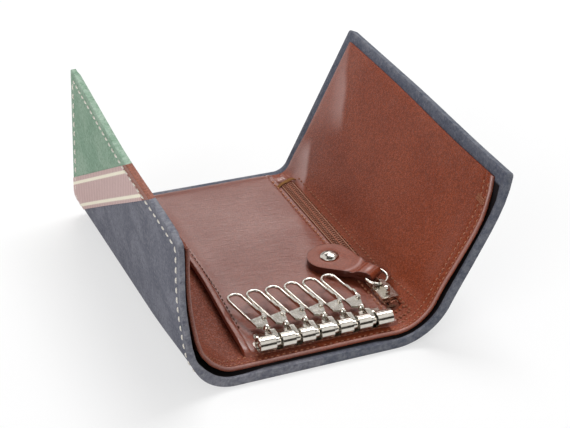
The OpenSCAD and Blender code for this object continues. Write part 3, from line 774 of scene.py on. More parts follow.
# %% The woven ribbon
STITCH_INSET = 3.0 * MM
RIBBON_T, RIBBON_SUNK = mm(0.3, 0.02)
RIBBON_L, RIBBON_MIDDLE = mm(96, 22)
half_l, half_w = RIBBON_L / 2, (RIBBON_BACK - RIBBON_FRONT) / 2
ribbon = slab("ribbon_woven", (-half_l, -half_w, -RIBBON_T), (half_l, half_w, RIBBON_SUNK))
cut_across(ribbon, 0, steps(-half_l, half_l, 48)[1:-1])
cut_across(ribbon, 1, steps(-4 * MM, 4 * MM, 4))
bevel_edges(ribbon, sharp, 0.1 * MM, 2)
along_y = ((RIBBON_BACK + RIBBON_FRONT) / 2 - RIBBON_MIDDLE * ACROSS_RIBBON[0]) / ACROSS_RIBBON[1]
slant = Matrix.Rotation(math.atan2(*ACROSS_RIBBON), 4, "Z")
ribbon.data.transform(
    Matrix.Translation((-(FLAP_START[LEFT] + RIBBON_MIDDLE), along_y, 0)) @ slant)
cut_off(ribbon, (0, BACK - 0.6 * MM, 0), (0, 1, 0))
cut_off(ribbon, (-(EDGE[LEFT] - STITCH_INSET), 0, 0), (-1, 0, 0))
fold_up(ribbon)
finish_with(ribbon, "ribbon_twill")
hinge_cover(ribbon, LEFT)
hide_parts("ribbon")
print("ribbon", len(ribbon.data.polygons), "faces")

# %% [markdown]
# The lining is one layer of smooth leather, 1.2 mm thick, set back from the cover's edges. Its
# front edge is turned under, so it is a soft roll, and two rows of stitches press it down. It
# lies looser in some places than in others: two curves say how far its front edge is lifted and
# how far it is set back.

# %% How the lining lies
SLOT_LEFT, SLOT_RIGHT = mm(27.6, 38.4)
SLOT_FRONT, SLOT_BACK = mm(-43.6, 44.5)
HEM_ROWS = mm(-54.6, -51.9)
HEM_LIFT = {
    RIGHT: curve_through((0, 0.9), (22, 0.9), (28, 0.6), (34, 0.4), (42, 0.6), (50, 0.9),
                         (58, 1.2), (66, 1.3), (74, 1.2), (82, 0.8), (87, 0.4), (92, 0)),
    LEFT: curve_through((0, 0.9), (20, 0.9), (27, 0.9), (34, 1.1), (40, 1.5), (46, 1.3),
                        (52, 0.9), (58, 0.3), (66, -0.1), (76, -0.3), (97, -0.4)),
}
SET_BACK = {
    RIGHT: curve_through((20, 0.7), (50, 0.6), (58, 0.3), (66, -0.2), (76, -0.4), (82, 0),
                         (86, 0.9), (91, 2.2), (98, 3.8)),
    LEFT: curve_through((20, 0.7), (98, 0.9)),
}


def front_share(y):
    return 1 - blend_mm(y, -54, -42)


def set_back(x, y):
    return SET_BACK[side_of(x)](abs(x)) * front_share(y)


def bump(value, middle, width, power=2):
    """A soft bump, 1 at its middle."""
    return math.exp(-(((value - middle) / width) ** power))


print("hem lifted at the zip by", round(HEM_LIFT[RIGHT](ZIP_X), 5), "m")

# %% [markdown]
# On the right the lining has a slot for the zip. The leather beside the slot lies on the zip's
# tape, so it is raised there, and behind the slot's end it stands up in a puff with fine ridges.
# Where the leather is turned or pinched, a painted highlight is stored as a mark for the finish to
# read.

# %% The lining's relief
def zip_raise(x, y):
    beside = blend_in(x, SLOT_RIGHT - 2 * MM, SLOT_RIGHT) * (1 - blend_mm(x, 42, 49))
    return beside * window(y, SLOT_FRONT + 2 * MM, SLOT_BACK - 1 * MM, 5 * MM)


def puff_at(x, y):
    return bump(x, 32.8 * MM, 2.8 * MM) * bump(y, 47.1 * MM, 1.9 * MM)


def crumple(x, y):
    if not 22 * MM < x < 44 * MM or y < SLOT_BACK:
        return 0
    here = window(x, 28.5 * MM, 38 * MM, 3 * MM) * bump(y, 47.2 * MM, 2.4 * MM)
    ridges = math.sin((x - 30 * MM) / (0.45 * MM) + 0.8 * math.sin(y / (1.1 * MM)))
    return 1.7 * MM * puff_at(x, y) + here * (0.25 * MM + 0.3 * MM * ridges)


def lining_height(x, y, h):
    side, front = side_of(x), front_share(y)
    rise = zip_raise(x, y) * 0.8 * MM + HEM_LIFT[side](abs(x)) * front
    if h > (RIM + STACK) / 2:
        rise += crumple(x, y) + 0.25 * MM * bump(y, -55.5 * MM, 0.6 * MM)
        rise -= 0.16 * MM * sum(bump(y, row, 0.45 * MM) for row in HEM_ROWS)
    if side == LEFT:
        border = blend_in(abs(x), EDGE[LEFT] - 9 * MM, EDGE[LEFT] - BORDER)
        rise -= 1.1 * MM * (1 - front) * border
    else:
        y -= 0.8 * MM * blend_mm(x, 48, 62) * blend_in(y, 42 * MM, LINING_BACK)
        border = blend_in(x, EDGE[RIGHT] - 20 * MM, EDGE[RIGHT] - BORDER)
        x += 0.9 * MM * blend_mm(y, -30, 30) * border
    return x, y + SET_BACK[side](abs(x)) * front, h + rise


# Painted highlight along the rolled front edge, stronger at the right corner, and on the puff.
def rolled_edge(x, y, h):
    roll = 1 - blend_mm(y, -55.7, -55.35)
    upper = blend_in(h, STACK - 0.5 * MM, STACK - 0.15 * MM)
    puff = 0.8 * puff_at(x, y) if x > 0 else 0
    return min(1.0, roll * upper * (0.6 + 0.5 * blend_mm(x, 86, 93)) + puff)


print("puff", round(crumple(32.8 * MM, 47.1 * MM), 5), "m high")

# %% [markdown]
# Both halves start as slabs with cuts where they bend or swell. The slot is opened by deleting
# the faces over the zip, above and below, and joining the two rims with a wall.

# %% The lining's two halves
def lining_half(side, name):
    end = side * (EDGE[side] - BORDER)
    piece = slab(name, (min(0, end), LINING_FRONT, RIM), (max(0, end), LINING_BACK, STACK))
    places = fold_cuts(side, abs(end))
    rows = mm(-55.7, -55.4, -55, -54.6, -54.2, -53.6, -52.8, -52.3, -51.9, -51.5, -51, -49.5)
    rows += mm(-41, -33, -25, -15, -5, 5, 15, 25, 34)
    if side == RIGHT:
        places += mm(27.6, 28.5, 29.4, 30.2, 31, 31.8, 32.6, 33.4, 34.8, 36, 37)
        places += [SLOT_RIGHT] + mm(35.4, 38, 38.9, 39.6)
        rows += [-46 * MM, SLOT_FRONT, 43 * MM, SLOT_BACK]
        rows += mm(45.3, 46.1, 46.9, 47.7, 48.5, 49.3, 50.2, 51.2)
    else:
        rows += [43 * MM]
    cut_across(piece, 0, places)
    cut_across(piece, 1, rows)
    return piece


def over_zip(face):
    x, y, h = face.calc_center_median()
    return SLOT_LEFT < x < SLOT_RIGHT and SLOT_FRONT < y < SLOT_BACK


def open_slot(piece):
    edit(piece)
    pick(piece, "FACE", over_zip)
    bpy.ops.mesh.delete(type="FACE")
    bpy.ops.mesh.select_mode(type="EDGE")
    bpy.ops.mesh.select_non_manifold(extend=False)
    bpy.ops.mesh.bridge_edge_loops()
    bpy.ops.object.mode_set(mode="OBJECT")


linings = {}
for side, word in SIDES:
    piece = linings[side] = lining_half(side, "lining_leather_" + word)
    if side == RIGHT:
        open_slot(piece)
    bevel_edges(piece, lambda edge: sharp(edge, 0.0), 0.3 * MM, 2)
    # The painted highlight is stored as a mark on the points.
    mark(piece, "rolled", rolled_edge)
    move_points(piece, lining_height)
    fold_up(piece)
    finish_with(piece, "lining_brown_" + word)
    hinge_lining(piece, side)
    print(piece.name, len(piece.data.polygons), "faces")
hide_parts("lining_right", "lining_fold_right", "lining_centre")
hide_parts("lining_left", "lining_fold_left")

# %% [markdown]
# The key panel is a second leather layer over the zip's pocket. Its left edge is folded back on
# itself and sewn, which makes a soft roll that bows out towards the front. Its front and back
# ends are pressed down on the lining, and the middle swells a little over the pocket.

# %% The key panel
PANEL_LEFT, PANEL_RIGHT = mm(-22.04, 30.2)
PANEL_FRONT, PANEL_BACK = mm(-51.8, 53)
HEM_SEAM, ZIP_SEAM = mm(-19.6, 28.6)
panel = slab("key_panel_leather", (PANEL_LEFT, PANEL_FRONT, STACK + 0.2 * MM),
             (PANEL_RIGHT, PANEL_BACK, PANEL_TOP))
cut_across(panel, 0, mm(-21.6, -21.1, -20.6, -20.1, -19.6, -19.1, -18.4, -14, -9, -4, 2, 8, 14,
                        20, 25, 27.4, 28.1, 28.6, 29.1, 29.7))
cut_across(panel, 1, mm(-51.3, -50.8, -50.2, -48.5, -45, -42, -34, -26, -18, -10, -2, 6, 14, 22,
                        30, 38, 45, 48.5, 51, 52.2))
bevel_edges(panel, sharp, 0.25 * MM, 2)


def bow(x, y):
    return -3.0 * MM * (1 - blend_in(x, PANEL_LEFT, -6 * MM)) * (1 - blend_mm(y, -50, 2))


def panel_height(x, y, h):
    lifted = 1.5 * MM * (1 - blend_in(x, PANEL_LEFT, -14 * MM))
    lifted *= window(y, -44 * MM, 30 * MM, 8 * MM)
    if h < STACK + 0.5 * MM:
        return x + bow(x, y), y, h + lifted
    pressed = (1 - blend_in(y, PANEL_FRONT, -50.4 * MM)) + blend_in(y, 50.5 * MM, PANEL_BACK)
    hem = 0.5 * MM * window(x, PANEL_LEFT, HEM_SEAM - 0.6 * MM, 0.6 * MM)
    groove = 0.2 * MM * sum(bump(x, seam_x, 0.4 * MM) for seam_x in (HEM_SEAM, ZIP_SEAM))
    sewn = (hem - groove) * blend_in(y, PANEL_FRONT, -49 * MM)
    swell = 0.35 * MM * window(x, -12 * MM, 20 * MM, 8 * MM) * window(y, 2 * MM, 42 * MM, 14 * MM)
    return x + bow(x, y), y, h + lifted + sewn + swell - pressed * 1.1 * MM


move_points(panel, panel_height)
keep_flat_place(panel)
smooth(panel)
finish_with(panel, "panel_brown")
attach(panel, "centre")
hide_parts("key_panel", "pocket_bag")
print("key panel", len(panel.data.polygons), "faces")

# %% [markdown]
# A nylon zip is two coils of thick thread, sewn to woven tapes and offset by half a turn so that
# they mesh. Each coil is a curve that winds round the tape's edge, given a round section and made
# a mesh. Two wavy threads hold each coil to its tape, and a cord edges the opening.

# %% Zip coils
COIL_Z, COIL_PITCH, COIL_WIRE = mm(6.3, 1.2, 0.31)
CHAIN_FRONT, CHAIN_BACK = mm(-41.4, 42.4)
PER_TURN = 12


def tube(name, points, radius, material, body, sides=2):
    curve = bpy.data.curves.new(name, "CURVE")
    curve.dimensions = "3D"
    curve.bevel_depth = radius
    curve.bevel_resolution = sides - 1
    curve.use_fill_caps = True
    line = curve.splines.new("POLY")
    line.points.add(len(points) - 1)
    for item, point in zip(line.points, points):
        item.co = (*point, 1.0)
    use(add_object(name, curve))
    bpy.ops.object.convert(target="MESH")
    piece = bpy.context.object
    keep_flat_place(piece)
    smooth(piece, 60)
    finish_with(piece, material)
    if body:
        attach(piece, body)
    return piece


def coil_points(side):
    points = []
    first = CHAIN_FRONT if side == RIGHT else CHAIN_FRONT + COIL_PITCH / 2
    for i in range(int((CHAIN_BACK - CHAIN_FRONT) / COIL_PITCH * PER_TURN)):
        angle = 2 * math.pi * i / PER_TURN
        x = ZIP_X + side * (1.0 * MM - 1.12 * MM * math.cos(angle))
        y = first + COIL_PITCH * i / PER_TURN
        points.append((x, y, COIL_Z + 0.42 * MM * math.sin(angle)))
    return points


def zip_line(name, offset, above, radius, material, wave=0.0):
    """A thread that runs beside or over the coils, at an offset from the zip's middle."""
    points = []
    for y in steps(CHAIN_FRONT, CHAIN_BACK, 279):
        height = COIL_Z + above + wave * math.sin(2 * math.pi * y / COIL_PITCH)
        points.append((ZIP_X + offset, y, height))
    tube(name, points, radius, material, "centre")


for side, word in SIDES:
    coil = tube("zip_teeth_" + word, coil_points(side), COIL_WIRE, "coil_nylon",
                "centre")
    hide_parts("zip_coil_" + word)
    for i, offset in enumerate(mm(0.76, 1.52)):
        zip_line("zip_seam_%s_%d" % (word, i), side * offset, 0.62 * MM, 0.13 * MM,
                 "thread_dark", 0.08 * MM)
    zip_line("zip_cord_" + word, side * 2.42 * MM, 0.05 * MM, 0.17 * MM, "thread_pale")
    print("coil", word, len(coil.data.polygons), "faces")

# %% [markdown]
# The tapes of a zip are woven strips. Each carries its coil on its edge and dips from there under
# the leather it is sewn to. The right tape reaches onto the fold, so it bends with the lining.

# %% Zip tapes
TAPE_FRONT, TAPE_BACK, TAPE_T = mm(-44.6, 46, 0.35)
TAPE_OUTER = {RIGHT: 44 * MM, LEFT: 26.6 * MM}
TAPE_DIP = {RIGHT: 1.6 * MM, LEFT: 1.0 * MM}


def dip(x, y, h):
    share = blend_mm(abs(x - ZIP_X), 3.2, 6)
    ends = 0.35 * MM * blend_mm(abs(y), 40, 45) * (1 - share)
    top = 5.6 * MM - share * TAPE_DIP[RIGHT if x > ZIP_X else LEFT]
    ripple = 0.05 * MM * math.sin(y / (1.3 * MM))
    return x, y, h + top - ends - 1.3 * MM * blend_mm(-y, 41, 43) + ripple


for side, word in SIDES:
    low_x, high_x = sorted((ZIP_X + side * 0.35 * MM, TAPE_OUTER[side]))
    piece = slab("zip_tape_cloth_" + word, (low_x, TAPE_FRONT, 0), (high_x, TAPE_BACK, TAPE_T))
    cut_across(piece, 0, steps(low_x, high_x, 14 if side == RIGHT else 8)[1:-1])
    cut_across(piece, 1, steps(TAPE_FRONT, TAPE_BACK, 24)[1:-1])
    bevel_edges(piece, sharp, 0.08 * MM, 1)
    move_points(piece, dip)
    fold_up(piece)
    finish_with(piece, "tape_weave")
    if side == RIGHT:
        hinge_lining(piece, RIGHT)
    else:
        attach(piece, "centre")
    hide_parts("zip_tape_" + word)
    print(piece.name, len(piece.data.polygons), "faces")

# %% [markdown]
# At both ends of the zip's opening a bar of thread holds the tapes together. It is a few threads
# side by side, each arched over what it holds down, with a little disorder from a sine.

# %% End tacks
def thread_bar(name, start, end, count, spread, rise, material):
    start, end = Vector(start), Vector(end)
    along = end - start
    across = Vector((-along.y, along.x, 0)).normalized()
    strands = []
    for i in range(count):
        shift = (i / (count - 1) - 0.5) * spread
        points = []
        for t in steps(0, 1, 12):
            arch = Vector((0, 0, rise * (1 - (2 * t - 1) ** 4)))
            lean = 0.12 * MM * math.sin(9 * t + 2.1 * i)
            points.append(start + along * t + across * (shift + lean) + arch)
        strands.append(tube("strand", points, 0.2 * MM, material, None, 3))
    use(strands[0])
    for strand in strands:
        strand.select_set(True)
    bpy.ops.object.join()
    bar = strands[0]
    bar.name = bar.data.name = name
    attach(bar, "centre")
    print(name, len(bar.data.polygons), "faces")
    return bar


back_tack = thread_bar("zip_back_tack", mm(28.4, 41.0, 5.7), mm(37.2, 44.0, 6.4), 5, 1.0 * MM,
                       1.35 * MM, "thread_gold")
thread_bar("zip_front_tack", mm(30.4, -42.5, 5.1), mm(35.2, -42.5, 5.2), 4, 0.9 * MM, 0.8 * MM,
           "thread_dark")
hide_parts("zip_stops")

# %% [markdown]
# A stitch is a short fat thread whose ends dive into the leather. One is modelled, from a sphere
# that is drawn out and bent down at its ends.

# %% One stitch
use()
bpy.ops.mesh.primitive_uv_sphere_add(segments=8, ring_count=8, radius=0.5)
pattern = bpy.context.object
STITCH_FACES = [tuple(face.vertices) for face in pattern.data.polygons]
STITCH_POINTS = []
for vertex in pattern.data.vertices:
    length, (side_a, side_b) = vertex.co.z, vertex.co.xy
    fat = max(1e-6, math.hypot(side_a, side_b) * 2) ** -0.45
    STITCH_POINTS.append((length, side_a * fat, side_b * fat - 0.5 * (2 * length) ** 4))
bpy.data.objects.remove(pattern)
print("a stitch has", len(STITCH_FACES), "faces")

# %% [markdown]
# A seam copies the stitch along lines drawn on the flat leather, each copy a little different, as
# sewing is. The whole seam is then folded with the piece that it holds.

# %% Seams
def line_places(points, pitch):
    """Evenly spaced places on a polyline, with the direction at each."""
    places, left = [], pitch * 0.5
    for (x0, y0), (x1, y1) in zip(points, points[1:]):
        length = math.hypot(x1 - x0, y1 - y0)
        if length < 1e-9:
            continue
        dx, dy = (x1 - x0) / length, (y1 - y0) / length
        at = left
        while at <= length:
            places.append((x0 + dx * at, y0 + dy * at, dx, dy))
            at += pitch
        left = at - length
    return places


def seam(name, rows, pitch, size, material, surface, outside=False):
    """rows are polylines on the flat leather, size is a stitch's length, width and thickness."""
    chance = random.Random(name)
    points, faces = [], []
    for x, y, dx, dy in (place for row in rows for place in line_places(row, pitch)):
        turn = chance.uniform(-0.07, 0.07)
        dx, dy = dx - dy * turn, dy + dx * turn
        long = size[0] * chance.uniform(0.92, 1.06)
        shift = chance.uniform(-0.05, 0.05) * MM
        base = len(points)
        for a, b, c in STITCH_POINTS:
            px = x + dx * a * long - dy * (b * size[1] + shift)
            py = y + dy * a * long + dx * (b * size[1] + shift)
            rise = c * size[2] + 0.2 * size[2]
            points.append((px, py, surface(px, py) + (-rise if outside else rise)))
        for face in STITCH_FACES:
            faces.append([base + i for i in (face[::-1] if outside else face)])
    mesh = bpy.data.meshes.new(name)
    mesh.from_pydata(points, [], faces)
    piece = add_object(name, mesh)
    fold_up(piece)
    finish_with(piece, material)
    print(name, len(faces) // len(STITCH_FACES), "stitches")
    return piece


# %% [markdown]
# The cream seam runs along the cover's edge, round the free corners, and holds the turned rim.

# %% The cover's seams
CREAM_STITCH = mm(2.3, 0.78, 0.6)
SEAM_CORNER_R = 1.6 * MM


def round_corner(corner, before, after, radius, count=5):
    """Points of a quarter turn that replaces a corner of a polyline."""
    points = []
    for turn in steps(0, math.pi / 2, count):
        back, on = radius * (1 - math.sin(turn)), radius * (1 - math.cos(turn))
        points.append(tuple(c + a * back + b * on for c, a, b in zip(corner, before, after)))
    return points


def cover_outline(side, inset, from_x):
    """From the middle along the front, round the free edge and back to the middle."""
    edge = side * (EDGE[side] - inset)
    front, back = FRONT + inset, BACK - inset
    line = [(side * from_x, front)]
    line += round_corner((edge, front), (-side, 0), (0, 1), SEAM_CORNER_R)
    line += round_corner((edge, back), (0, -1), (-side, 0), SEAM_CORNER_R)
    return line + [(side * from_x, back)]


for side, word in reversed(SIDES):
    line = cover_outline(side, STITCH_INSET, 1.0 * MM)
    outer = seam("cover_seam_" + word, [line], 3.7 * MM, CREAM_STITCH, "thread_cream",
                 lambda x, y: 0, True)
    hinge_cover(outer, side)

# %% [markdown]
# Inside, two rows press the lining's front hem down, a few cross stitches tack its right end, a
# box and two lines hold it round the zip, and the key panel is sewn at its hem and along the zip.

# %% The seams inside
FINE_STITCH, ZIP_STITCH = mm(1.25, 0.5, 0.6), mm(1.5, 0.75, 0.7)
FOLD_STITCH, FLAP_STITCH = mm(1.4, 1.1, 0.7), mm(1.3, 0.75, 0.5)
TACK_STITCH = mm(1.5, 0.8, 0.8)


def lining_top(x, y):
    return lining_height(x, y - set_back(x, y), STACK)[2]


def panel_top(x, y):
    return panel_height(x, y, PANEL_TOP)[2]


for side, word in SIDES:
    places = [side * x for x in steps(1 * MM, EDGE[side] - BORDER - 2.2 * MM, 24)]
    rows = [[(x, y + set_back(x, y)) for x in places] for y in HEM_ROWS]
    hem = seam("hem_seam_" + word, rows, 2.1 * MM, FINE_STITCH, "thread_orange", lining_top)
    hinge_lining(hem, side)
rows = [[mm(u, -52.9), mm(u + 0.5, -48.6)] for u in (87.4, 87.9, 88.4, 88.9)]
hem_tack = seam("hem_tack", rows, 0.8 * MM, TACK_STITCH, "thread_rust", lining_top)
hinge_lining(hem_tack, RIGHT)

beside_slot = SLOT_RIGHT + 1.2 * MM
box = [[(31 * MM, y), (beside_slot, y)] for y in mm(-45.2, -49)]
for i, (x, size, more) in enumerate((
    (beside_slot, FOLD_STITCH, box),
    (44.7 * MM, FLAP_STITCH, []),
)):
    rows = [[(x, -49 * MM), (x, SLOT_BACK - 1 * MM)]] + more
    piece = seam("zip_lining_seam_%d" % i, rows, 2.1 * MM, size, "thread_rust", lining_top)
    hinge_lining(piece, RIGHT)
for name, x, low, high, size, material in (
    ("zip_panel_seam", ZIP_SEAM, -50 * MM, 46 * MM, ZIP_STITCH, "thread_orange"),
    ("panel_hem_seam", HEM_SEAM, -40 * MM, 51.5 * MM, FINE_STITCH, "thread_dark"),
):
    row = [(x + bow(x, y), y) for y in steps(low, high, 24)]
    piece = seam(name, [row], 2.3 * MM, size, material, panel_top)
    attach(piece, "centre")

# %% [markdown]
# The pull is a strap with a round end, folded in two round the ring's straight bar and riveted.
# It is cut flat as one strip with both ends round: narrow at the neck, then straight sides that
# touch the round end.

# %% The pull's outline
TAB_T = 1.25 * MM
NECK, NECK_L, END_R, REACH = mm(3.1, 1.9, 7.9, 17.8)
BAR_R = 0.62 * MM
WRAP_R = BAR_R + TAB_T / 2
WRAP_L = WRAP_R * math.pi / 2
to_end = math.hypot(REACH - NECK_L, NECK)
bearing = -abs(math.asin((REACH - NECK_L) / to_end) - math.acos(END_R / to_end))
touch = (END_R * math.cos(bearing), REACH + END_R * math.sin(bearing))


def tab_width(y):
    if y <= NECK_L:
        return NECK
    if y <= touch[1]:
        share = (y - NECK_L) / (touch[1] - NECK_L)
        return NECK + (touch[0] - NECK) * share
    return math.sqrt(max(0.0, END_R ** 2 - (y - REACH) ** 2))


rows = mm(0.7, 1.3, 1.9, 2.4, 2.9, 3.4, 4, 4.6, 5, 5.4, 5.8, 6.1, 6.4, 6.7, 7.1, 7.6, 8.4, 10)
rows += [touch[1]]
rows += [REACH + END_R * math.sin(turn) for turn in steps(bearing, math.radians(83), 9)[1:]]
tab_l = WRAP_L + rows[-1]
tab = slab("pull_tab_leather", (-1, -tab_l, -TAB_T / 2), (1, tab_l, TAB_T / 2))
ends = [s * (WRAP_L + y) for s in (-1, 1) for y in rows[:-1]]
cut_across(tab, 1, steps(-WRAP_L, WRAP_L, 8) + ends)
cut_across(tab, 0, steps(-1, 1, 12)[1:-1] + [-0.94, 0.94])
move_points(tab, lambda x, s, h: (x * tab_width(max(0.0, abs(s) - WRAP_L)), s, h))
bevel_edges(tab, sharp, 0.32 * MM, 3)
print("half the pull is", round(tab_l, 4), "m long")

# %% [markdown]
# The strip is wrapped round the bar: its layers run apart there and close against each other within
# a few millimetres. Its cut edges are dyed dark, and its bends carry a painted highlight. The last
# matrix turns the finished pull to how it lies on the ring.

# %% The leather pull
TAB_PLACE = (
    Matrix.Translation((ZIP_X, -33.42 * MM, 9.05 * MM))
    @ Matrix.Rotation(math.radians(8), 4, "X")
    @ Matrix.Translation((0, 4 * MM, 0))
    @ Matrix.Rotation(math.radians(28.8), 4, "Z")
    @ Matrix.Translation((0, 1.6 * MM, 0))
    @ Matrix.Rotation(math.radians(-12.2), 4, "X")
)


def wrap(x, s, h):
    y = abs(s) - WRAP_L
    if y < 0:
        angle, radius = s / WRAP_R, WRAP_R + h
        return x, -radius * math.cos(angle), radius * math.sin(angle)
    level = TAB_T / 2 + h + 0.02 * MM + BAR_R * (1 - blend_mm(y, 0.3, 4.6))
    if h > 0:
        level -= 0.3 * MM * bump(math.hypot(x, y - REACH), 0, 3.2 * MM, 4)
        level -= 0.42 * MM * bump(y, 5.4 * MM, 0.8 * MM)
        level += 0.3 * MM * bump(y, 3.4 * MM, 1.1 * MM)
    return x, y, level if s > 0 else -level


def at_cut_edge(x, s, h):
    width = tab_width(max(0.0, abs(s) - WRAP_L))
    return max(blend_in(abs(x), width - 0.45 * MM, width - 0.1 * MM),
               blend_in(abs(s), tab_l - 0.4 * MM, tab_l))


# A painted highlight across the crease near the neck and on the neck's bend.
def neck_shine(x, s, h):
    y = s - WRAP_L
    bend = bump(y - 0.05 * x * x / MM, 6.4 * MM, 0.5 * MM)
    return 0.75 * bend + 0.9 * bump(y, 1.2 * MM, 0.6 * MM) * bump(x, 0, 1.9 * MM)


keep_flat_place(tab)
mark(tab, "cut_edge", at_cut_edge)
mark(tab, "rolled", neck_shine)
move_points(tab, wrap)
tab.data.transform(TAB_PLACE)
smooth(tab)
finish_with(tab, "tab_brown")
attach(tab, "pull")
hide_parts("pull_tab")
print("pull tab", len(tab.data.polygons), "faces")

# %% [markdown]
# The metal parts are exact in the CAD model, but their meshes are loose triangles, which shade as
# flat facets. A copy of each is merged, its flat faces are joined, and its edges get the small
# round that stamped and plated metal has, so that they catch the light.

# %% The metal parts
METAL = ["hook_bar", "hook_rod", "bar_rivets", "zip_slider", "pull_ring", "pull_rivet"]
for i in range(1, 7):
    METAL += ["hook_%d_%s" % (i, part) for part in ("link", "plate", "loop", "gate")]
BODIES = frame["record"]["behaviour"]["bodies"]
BODY_OF = {node: body for body, nodes in BODIES.items() for node in nodes}


def apply_modifier(piece, kind, **settings):
    use(piece)
    modifier = piece.modifiers.new(kind.title(), kind)
    for key, value in settings.items():
        setattr(modifier, key, value)
    bpy.ops.object.modifier_apply(modifier=modifier.name)


def plated(name):
    piece = add_object(name + "_plated", frame["nodes"][name].data.copy())
    piece.data.name = piece.name
    edit(piece)
    bpy.ops.mesh.remove_doubles(threshold=1e-6)
    bpy.ops.mesh.dissolve_limited(angle_limit=math.radians(0.3))
    bpy.ops.object.mode_set(mode="OBJECT")
    apply_modifier(piece, "BEVEL", width=0.07 * MM, segments=2, limit_method="ANGLE",
                   angle_limit=math.radians(38), use_clamp_overlap=True)
    smooth(piece, 50)
    apply_modifier(piece, "WEIGHTED_NORMAL", keep_sharp=True, weight=60)
    finish_with(piece, "nickel_plate")
    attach(piece, BODY_OF[name])
    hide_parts(name)
    return len(piece.data.polygons)


print("metal parts", len(METAL), "faces", sum(plated(name) for name in METAL))

# %% [markdown]
# The photo was taken from the front left, a little above, with a long lens, and the camera was
# turned slightly about its own axis. The matrix is built from those three angles.

# %% Camera
AZIMUTH, TILT, ROLL = (math.radians(v) for v in (26.874, 31.146, 3.967))
level = Vector((math.cos(AZIMUTH), -math.sin(AZIMUTH), 0))
ahead = Vector((math.sin(AZIMUTH) * math.cos(TILT), math.cos(AZIMUTH) * math.cos(TILT),
                -math.sin(TILT)))
above = level.cross(ahead)
right = level * math.cos(ROLL) + above * math.sin(ROLL)
above = above * math.cos(ROLL) - level * math.sin(ROLL)
lens = bpy.data.cameras.new("photo_camera")
lens.lens, lens.sensor_width = 99.33, 36.0
lens.clip_start, lens.clip_end = 0.05, 10.0
camera = add_object("photo_camera", lens)
turned = Matrix((right, above, -ahead)).transposed().to_4x4()
camera.matrix_world = Matrix.Translation((-0.1985, -0.4145, 0.3025)) @ turned
scene = bpy.context.scene
scene.camera = camera
scene.view_settings.view_transform = "Standard"
print("camera stands", round(camera.matrix_world.translation.length, 3), "m away")

# %% [markdown]
# It is a catalogue photo on white. A large soft lamp hangs behind the case on the right, a weaker
# one fills from the left front, and a long one lights the edges from behind.

# %% Lamps
def area_lamp(name, place, aim, size, power):
    data = bpy.data.lights.new(name, "AREA")
    data.shape = "RECTANGLE"
    data.size, data.size_y = size
    data.energy = power
    lamp = add_object(name, data)
    lamp.location = place
    lamp.rotation_euler = (Vector(aim) - Vector(place)).to_track_quat("-Z", "Y").to_euler()


area_lamp("key_lamp", (0.30, 0.38, 1.05), (0, 0, 0.02), (0.7, 0.35), 9.4)
area_lamp("fill_lamp", (-0.8, -0.5, 0.45), (0, 0, 0.02), (0.6, 0.6), 4.4)
area_lamp("rim_lamp", (0.51, 1.093, 0.71), (0, 0, 0), (1.2, 0.18), 1.7)
print("lamps", len(bpy.data.lights))

# %% [markdown]
# Metal in a white room looks white all over. Dark cards beside the set give it the dark streaks
# that show its form. Only mirror-like reflections see them.

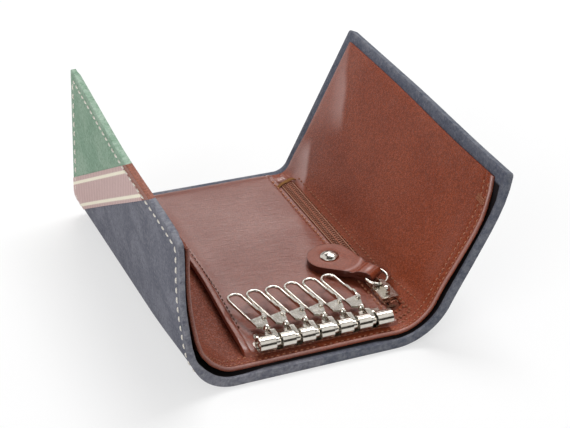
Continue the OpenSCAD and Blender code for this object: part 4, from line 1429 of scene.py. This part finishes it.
# %% Dark cards
def dark_flag(name, place, size, shade):
    use()
    bpy.ops.mesh.primitive_plane_add(size=1, location=place)
    card = bpy.context.object
    card.name = card.data.name = name
    card.scale = (*size, 1)
    card.rotation_euler = (Vector((0, 0, 0.03)) - Vector(place)).to_track_quat("Z", "Y").to_euler()
    card.visible_camera = card.visible_diffuse = card.visible_shadow = False
    card.visible_transmission = False
    felt = Finish(name, flat=False, Roughness=0.9, Specular_IOR_Level=0.1)
    felt.set("Base Color", (shade, shade * 0.8, shade * 0.66))
    card.data.materials.append(felt.material)
    card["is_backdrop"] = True


dark_flag("flag_back_left", (-1.02, 0.49, 0.15), (0.8, 0.6), 0.02)
dark_flag("flag_camera_side", (-0.55, -1.15, 0.65), (1.6, 1.0), 0.03)
dark_flag("flag_front_right", (0.5, -1.1, 0.3), (0.8, 0.7), 0.03)
dark_flag("flag_right", (1.05, 0.15, 0.35), (1.2, 0.7), 0.03)
dark_flag("flag_top", (-0.1, -0.1, 1.5), (1.4, 1.1), 0.03)
dark_flag("flag_above", (0.345, 0.74, 1.385), (1.9, 0.95), 0.07)
dark_flag("flag_strip", (0.4, 1.15, 0.33), (1.4, 0.36), 0.03)
print("dark cards placed")

# %% [markdown]
# The floor and the room show white to the camera and to the metal, and stay a little grey for the
# light that they send back. The floor keeps the case's soft shadow.

# %% White background and floor
def see_white(tree, strength_dark, strength_light):
    """A level that is light where the camera, a mirror or glass looks at it."""
    path = tree.nodes.new("ShaderNodeLightPath")
    total = Value(tree, path.outputs["Is Camera Ray"]) + Value(tree, path.outputs["Is Glossy Ray"])
    total = (total + Value(tree, path.outputs["Is Transmission Ray"])).least(1.0)
    return total * (strength_light - strength_dark) + strength_dark


scene.world = bpy.data.worlds.new("studio_white")
scene.world.use_nodes = True
sky = scene.world.node_tree
background = sky.nodes["Background"]
background.inputs["Color"].default_value = (1, 1, 1, 1)
connect(sky, background.inputs["Strength"], see_white(sky, 0.42, 1.0))

use()
bpy.ops.mesh.primitive_plane_add(size=6, location=(0, 0, -0.0002))
floor = bpy.context.object
floor.name = floor.data.name = "studio_floor"
paper = Finish("studio_paper", flat=False, Roughness=0.9, Specular_IOR_Level=0.1)
grey = see_white(paper.tree, 0.72, 0.86)
paper.set("Base Color", paper.node("CombineColor", _0=grey, _1=grey, _2=grey))
glow = paper.tree.nodes.new("ShaderNodeEmission")
both = paper.tree.nodes.new("ShaderNodeMixShader")
connect(paper.tree, both.inputs[0], see_white(paper.tree, 0.0, 0.6))
paper.tree.links.new(paper.shader.outputs[0], both.inputs[1])
paper.tree.links.new(glow.outputs[0], both.inputs[2])
paper.tree.links.new(both.outputs[0], paper.tree.nodes["Material Output"].inputs[0])
floor.data.materials.append(paper.material)
floor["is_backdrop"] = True
print("floor", floor.name)

# %% [markdown]
# Last, the overall size of the dressed model, which covers the CAD model, is measured.


low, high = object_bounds()
